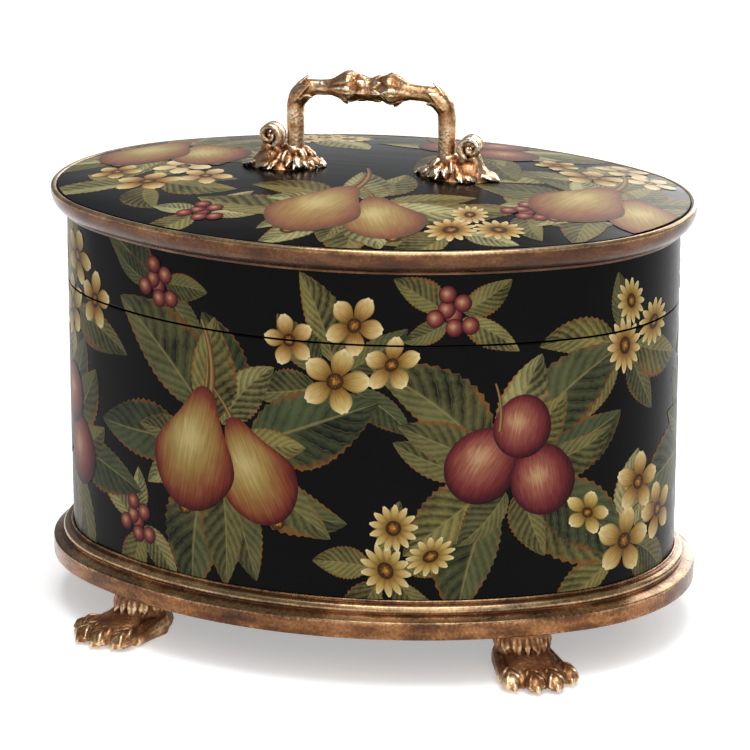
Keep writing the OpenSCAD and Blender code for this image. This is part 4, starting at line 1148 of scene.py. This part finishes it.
# Carrying handle: one brass casting, two round posts bent over into a grip. Leaf collars close round the
# bends, and two closed buds stand on the grip with a leafy waist between them. It is gilded over a brown
# patina.
# Its last stops, near white, are a painted highlight on the highest spots as well as rubbed gilt.
rubbed_gilt = cast_metal("Gilded cast brass", [
    (0.42, "#4d2c19"), (0.56, "#8d5f3d"), (0.7, "#bb8a60"), (0.85, "#e6c198"), (1.0, "#fff0db")],
    bright=0.24, hue_spots=0.3, bare=1.0)

POST_X = 41.3
POST_RADIUS = 4.55
Z_POST = 241.0
Z_GRIP = 284.8
ELBOW = 12.0
NECK_RADIUS = 4.1
BUD_X = 11.2
BUD_RADIUS = 7.9
WAIST_RADIUS = 6.2
NECK_FADE = 6.2
WAIST_FADE = 3.4
BUD_LIFT = 1.7
LIFT_FADE = 11.0


def grip_radius(x):
    """Radius of the grip at a distance from its middle: a neck that swells into a bud, and a waist inside
    it."""
    u = abs(x) - BUD_X
    if u > 0:
        return NECK_RADIUS + (BUD_RADIUS - NECK_RADIUS) * math.exp(-(u / NECK_FADE) ** 2)
    return WAIST_RADIUS + (BUD_RADIUS - WAIST_RADIUS) * math.exp(-(u / WAIST_FADE) ** 2)


def grip_height(x):
    """Height of the grip's middle line, which lifts a little at the buds."""
    return Z_GRIP - 0.3 + BUD_LIFT * math.exp(-((abs(x) - BUD_X) / LIFT_FADE) ** 2)


def around_grip(x, turn, radius):
    """A point at a radius round the grip's middle line, turned from its top towards the front."""
    angle = math.radians(turn)
    return (x, -radius * math.sin(angle), grip_height(x) + radius * math.cos(angle))


def around_bend(angle, turn, radius):
    """A point round the right bend's middle line, where the angle goes from 0 at the post to 90 at the
    grip."""
    bend, turn = math.radians(angle), math.radians(turn)
    reach = ELBOW + radius * math.cos(turn)
    return (POST_X - ELBOW + reach * math.cos(bend), -radius * math.sin(turn),
            Z_GRIP - ELBOW + reach * math.sin(bend))


FRONT_WAY = (0.0, 1.0, 0.0)
stations = [(POST_X, Z_POST - 0.8), (POST_X, Z_POST + 10), (POST_X, Z_POST + 20), (POST_X, Z_GRIP - ELBOW)]
right_line = [(x, 0.0, z) for x, z in stations]
right_line += [around_bend(angle, 0, 0) for angle in (22, 45, 68)]
grip_places = np.linspace(POST_X - ELBOW, -(POST_X - ELBOW), 41)
grip_line = [(x, 0.0, grip_height(x)) for x in grip_places]
left_line = [(-x, y, z) for x, y, z in reversed(right_line)]
girth = [POST_RADIUS + 0.5, POST_RADIUS, POST_RADIUS, POST_RADIUS + 0.2] + [POST_RADIUS + 0.2] * 3
girth = girth + [grip_radius(x) for x in grip_places] + girth[::-1]
line = right_line + grip_line + left_line
handle = [limb(line, girth, girth, up=FRONT_WAY, steps=2 * (len(line) - 1), sides=22)]
half_handle = []
# Leaf collar round the bend: five pointed leaves that lift off the neck at their tips.
for turn, flare in ((0, 6.5), (72, 5.3), (144, 5.9), (216, 5.9), (288, 5.3)):
    outer = [around_bend(8, turn, 4.0), around_bend(30, turn, 4.5), around_bend(55, turn, 4.7)]
    tip = around_bend(76, turn, flare)
    away = np.array(around_bend(40, turn, 9)) - np.array(around_bend(40, turn, 1))
    half_handle.append(limb(outer + [tip], [1.0, 3.0, 2.7, 0.5], [0.5, 0.7, 0.7, 0.5], up=away, sides=12))
    half_handle.append(limb(outer + [tip], [0.3, 0.6, 0.6, 0.4], [0.6, 0.9, 0.95, 0.6], up=away, sides=8))
# Bud: five broad petals closed over one another, with raised middles, and a point under the bud.
for number in range(5):
    turn = 36 + number * 72
    stops = (27.0, 21.0, 15.0, 11.0)
    petal = [around_grip(x, turn, grip_radius(x) - 0.25) for x in stops] + [around_grip(7.0, turn, 6.7)]
    away = np.array(around_grip(14, turn, 9)) - np.array(around_grip(14, turn, 1))
    half_handle.append(limb(petal, [0.4, 1.6, 3.6, 4.0, 1.2], [0.3, 0.4, 0.6, 0.7, 0.4], up=away, sides=12))
    half_handle.append(limb(petal, [0.2, 0.4, 0.5, 0.5, 0.3], [0.4, 0.6, 0.9, 0.95, 0.5], up=away, sides=8))
point = [around_grip(x, 180, radius) for x, radius in ((14.2, 6.0), (13.4, 8.2), (12.6, 9.8))]
half_handle.append(limb(point, [3.0, 1.7, 0.3], [2.2, 1.2, 0.3], up=FRONT_WAY, sides=10))
# Waist: small leaves that lean out to the buds from either side of the middle band.
for number in range(7):
    turn = number * 360 / 7
    away = np.array(around_grip(3, turn, 9)) - np.array(around_grip(3, turn, 1))
    sepal = [around_grip(0.8, turn, 5.3), around_grip(3.2, turn, 6.0), around_grip(6.2, turn, 7.0)]
    half_handle.append(limb(sepal, [1.4, 2.4, 0.6], [0.6, 0.8, 0.5], up=away, steps=8, sides=10))
    half_handle.append(limb(sepal, [0.4, 0.5, 0.3], [0.9, 1.2, 0.7], up=away, steps=8, sides=8))
band = [(x, 0, grip_height(0)) for x in (-1.4, 0, 1.4)]
handle.append(limb(band, [5.6, 6.2, 5.6], [5.6, 6.2, 5.6], up=FRONT_WAY, steps=6, sides=22))
MIRROR = np.array([-1.0, 1.0, 1.0])
handle += half_handle
handle += [(points * MIRROR, [face[::-1] for face in faces]) for points, faces in half_handle]
mesh = cast(handle, voxel=0.45, soften=1, pits=0.14, seed=2, reach=26)
mesh.materials.append(rubbed_gilt)
bar = place_mesh("handle_bar_cast", mesh, sharp=80)
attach(bar, "lid")
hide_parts("handle_bar")

# Rosettes: a ragged spray of acanthus leaves cast with each post's scroll. It lies on the dome, hides the
# post's foot and is held down by the post's screw.
ROSETTE_X = 46.3
ROSETTE_HALF = (23.0, 14.0)
LEAF_RIBS = 4
FOLD_COUNT = 34
SCROLL_X = 55.0
SCROLL_Z = 257.6
SCROLL_RADIUS = 6.1
SCROLL_EYE = 1.5
SCROLL_ROLL = 440
DOME_ROOM = 0.0001
leaf_draw = random.Random(8)
rosette_floor = dome_height(ROSETTE_X, 0)


def on_rosette(turn, spread):
    """A plan point on the rosette, at a turn round its middle and a share of the way out to its edge."""
    return np.array([ROSETTE_X + ROSETTE_HALF[0] * math.cos(turn) * spread,
                     ROSETTE_HALF[1] * math.sin(turn) * spread])


# Body of the rosette: a low cone that spreads from the post to the leaf tips and fills the gaps between
# them.
cone = [(46.3, -2.4), (46.2, 0.3), (45.6, 2.0), (44.0, 4.4), (42.2, 7.8), (POST_X, 11.0)]
rosette = [limb([(x, 0, rosette_floor + rise) for x, rise in cone], [20.0, 18.6, 14.5, 9.8, 6.4, 5.2],
                [12.2, 11.4, 9.2, 7.2, 5.8, 5.2], up=FRONT_WAY, sides=28)]
# Leaves: two rings of crumpled leaves with four ribs each, no two alike.
for turns, fan, reach, root_rise, mid_rise, tip_rise, width in (
        ((4, 60, 121, 178, 239, 300), 50, 0.97, 4.8, 3.4, 0.5, 0.25),
        ((30, 96, 160, 218, 276, 340), 48, 0.7, 8.6, 6.4, 3.4, 0.24)):
    for middle in turns:
        middle += leaf_draw.uniform(-9, 9)
        full = leaf_draw.uniform(0.86, 1.06)
        lift = leaf_draw.uniform(-0.8, 1.4)
        tilt = leaf_draw.uniform(-1.8, 1.8)
        for rib in range(LEAF_RIBS):
            aside = 2 * rib / (LEAF_RIBS - 1) - 1
            turn = math.radians(middle + aside * fan / 2)
            spread = reach * full * (1 - 0.2 * aside ** 2) * leaf_draw.uniform(0.84, 1.05)
            tip = on_rosette(turn, spread)
            root = np.array([POST_X + 2, 0]) * 0.72 + tip * 0.28
            crest = lift + 0.9 * (1 - aside ** 2) + tilt * aside
            line = []
            for share, rise in ((0, root_rise), (0.5, mid_rise + crest), (0.85, tip_rise + 1.4 + 0.7 * crest),
                                (1, tip_rise + 0.3 * crest)):
                spot = root + (tip - root) * share
                line.append(np.array([spot[0], spot[1], dome_height(*spot) + max(rise, 0.6)]))
            half = width * np.linalg.norm(tip - root)
            half *= leaf_draw.uniform(0.85, 1.35)
            rosette.append(limb(line, [1.6, half, half, 1.0], [1.1, 1.5, 1.5, 0.9], steps=10, sides=10))
# Folds between the ribs: short ridges that lie every way on the cone, as in a leaf pressed into clay.
for number in range(FOLD_COUNT):
    turn = math.radians(number * GOLDEN_ANGLE + leaf_draw.uniform(-20, 20))
    spread = leaf_draw.uniform(0.42, 0.9)
    middle = on_rosette(turn, spread)
    lean = turn + leaf_draw.uniform(-0.9, 0.9)
    half_fold = np.array([math.cos(lean), math.sin(lean)]) * leaf_draw.uniform(1.6, 3.0)
    rise = 8.8 * (1 - spread) + leaf_draw.uniform(-0.3, 0.8)
    slope = 0.42 * np.linalg.norm(half_fold)
    ground = dome_height(*middle)
    fold = [(*(middle - half_fold), ground + rise + slope), (*middle, ground + rise + 0.9),
            (*(middle + half_fold), ground + max(rise - slope, 0.4))]
    rosette.append(limb(fold, [0.6, 1.2, 0.6], [0.5, 0.9, 0.5], steps=8, sides=8))
# Scroll: a thick ribbon with raised edges, rolled up a turn and a quarter over the rosette's outer end.
roll = []
roll_steps = 44
for i in range(roll_steps + 1):
    share = i / roll_steps
    turn = math.radians(-125 - SCROLL_ROLL * share)
    radius = SCROLL_RADIUS - (SCROLL_RADIUS - SCROLL_EYE) * share
    roll.append(np.array([SCROLL_X + radius * math.cos(turn), 0, SCROLL_Z + radius * math.sin(turn)]))
tail = [np.array([50.5, 0, dome_height(50.5, 0) + 2.5]), np.array([50.0, 0, dome_height(50, 0) + 7.5])]
ribbon = tail + roll
rosette.append(limb(ribbon, [1.9, 1.7, 0.9], [4.5, 4.3, 3.2], up=FRONT_WAY, steps=120, sides=14))
for edge_way in (-1, 1):
    hem = [p + np.array([0, edge_way * (4.2 - 0.7 * i / len(ribbon)), 0]) for i, p in enumerate(ribbon)]
    rosette.append(limb(hem, [1.9, 1.7, 0.9], [1.2, 1.1, 0.85], up=FRONT_WAY, steps=120, sides=10))
rosette.append(limb([(SCROLL_X, y, SCROLL_Z) for y in (-3.8, 0, 3.8)], [1.0, 1.3, 1.0], [1.0, 1.3, 1.0],
                    sides=14))
# Stem that carries the scroll: thick, rooted in the rosette's outer leaves.
rosette.append(limb([(SCROLL_X + 4, 0, rosette_floor), (SCROLL_X + 2.6, 0, rosette_floor + 5),
                     (SCROLL_X + 0.6, 0, SCROLL_Z - 5.0)], [4.6, 4.4, 4.0], [5.0, 4.6, 4.2], up=FRONT_WAY))
rosette_skin = cast(rosette, voxel=0.42, soften=1, pits=0.14, seed=3, reach=26)
rosette_place = np.array([v.co for v in rosette_skin.vertices])
lowest = np.array([dome_height(x / MM, y / MM) for x, y, _ in rosette_place]) * MM + DOME_ROOM
rosette_place[:, 2] = np.maximum(rosette_place[:, 2], lowest)
for side_name, along in (("left", -1), ("right", 1)):
    mesh = rosette_skin.copy()
    mesh.vertices.foreach_set("co", (rosette_place * np.array([along, 1, 1])).ravel())
    if along < 0:
        mesh.flip_normals()
    mesh.materials.append(rubbed_gilt)
    spray = place_mesh("handle_rosette_" + side_name + "_cast", mesh, sharp=80)
    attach(spray, "lid")
    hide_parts("handle_rosette_" + side_name)

# Handle screws and washers: steel, driven up from under the top panel, seen only with the lid open.
for name in ("handle_screws", "handle_washers"):
    dress(name, steel)

# Floor: a plain pale sheet, wide enough to fill the view. It glows to the eye and in what mirrors it, and
# only takes the object's shadow otherwise.
FLOOR_HALF = 8
FLOOR_GLOW = 0.38
mesh = bpy.data.meshes.new("floor")
mesh.from_pydata([(x * FLOOR_HALF, y * FLOOR_HALF, 0) for x, y in ((-1, -1), (1, -1), (1, 1), (-1, 1))], [],
                 [(0, 1, 2, 3)])
paper, tree, shader = new_material("Pale backdrop paper")
rays = add_node(tree, "ShaderNodeLightPath").outputs
seen = rays["Is Camera Ray"]
for ray in ("Is Glossy Ray", "Is Transmission Ray"):
    seen = add_node(tree, "ShaderNodeMath", {0: seen, 1: rays[ray]}, operation="MAXIMUM")
glow = add_node(tree, "ShaderNodeMath", {0: seen, 1: FLOOR_GLOW}, operation="MULTIPLY")
set_inputs(shader, {"Base Color": linear("#f4f4f2"), "Roughness": 0.9, "Specular IOR Level": 0.1,
                    "Emission Color": (1.0, 1.0, 1.0, 1.0), "Emission Strength": glow})
mesh.materials.append(paper)
floor = link_object("floor", mesh)


# Studio light: soft boxes in front, above and at the right, one behind that the base's ledge mirrors, and a
# weak one behind at the left that lays a veil on the top's lacquer.
def softbox(name, place, aim, width, height, watts):
    """A rectangular studio light at a place, turned to its aim, in metres."""
    light = bpy.data.lights.new(name, "AREA")
    light.shape = "RECTANGLE"
    light.size = width
    light.size_y = height
    light.energy = watts
    lamp = link_object(name, light)
    lamp.location = place
    lamp.rotation_euler = (Vector(aim) - Vector(place)).to_track_quat("-Z", "Y").to_euler()


softbox("softbox_front", (0.74, -1.95, 1.78), (0, 0, 0.1), 1.7, 3.2, 39)
softbox("softbox_top", (0.1, -0.3, 2.3), (0, 0, 0.1), 1.2, 1.2, 30)
softbox("softbox_right", (1.25, 1.75, 1.1), (0, 0, 0.15), 0.9, 0.9, 8)
softbox("softbox_back", (0.31, 2.3, 1.38), (0.25, 0, 1.3), 1.1, 2.4, 27)
softbox("softbox_back_left", (-0.6, 2.2, 0.8), (0, 0, 0.2), 1.0, 1.4, 1.9)
world = bpy.data.worlds.new("Studio")
world.use_nodes = True
set_inputs(world.node_tree.nodes["Background"], {"Color": linear("#c9cdd4"), "Strength": 0.3})
bpy.context.scene.world = world
bpy.context.scene.view_settings.view_transform = "Standard"

# Camera: a long lens about 2.1 m away, 16 degrees to the right of the front and 16.9 degrees above the
# floor.
azimuth, elevation = math.radians(16.0), math.radians(16.9)
distance = 2.135
back_way = Vector((math.sin(azimuth) * math.cos(elevation), -math.cos(azimuth) * math.cos(elevation),
                   math.sin(elevation)))
right_way = Vector((math.cos(azimuth), math.sin(azimuth), 0))
target = Vector((0, 0, 0.1288)) + right_way * 0.00214
camera = link_object("camera", bpy.data.cameras.new("camera"))
camera.location = target + back_way * distance
camera.rotation_euler = (-back_way).to_track_quat("-Z", "Y").to_euler()
camera.data.sensor_fit = "HORIZONTAL"
camera.data.sensor_width = 36.0
camera.data.lens = 191.5
bpy.context.scene.camera = camera
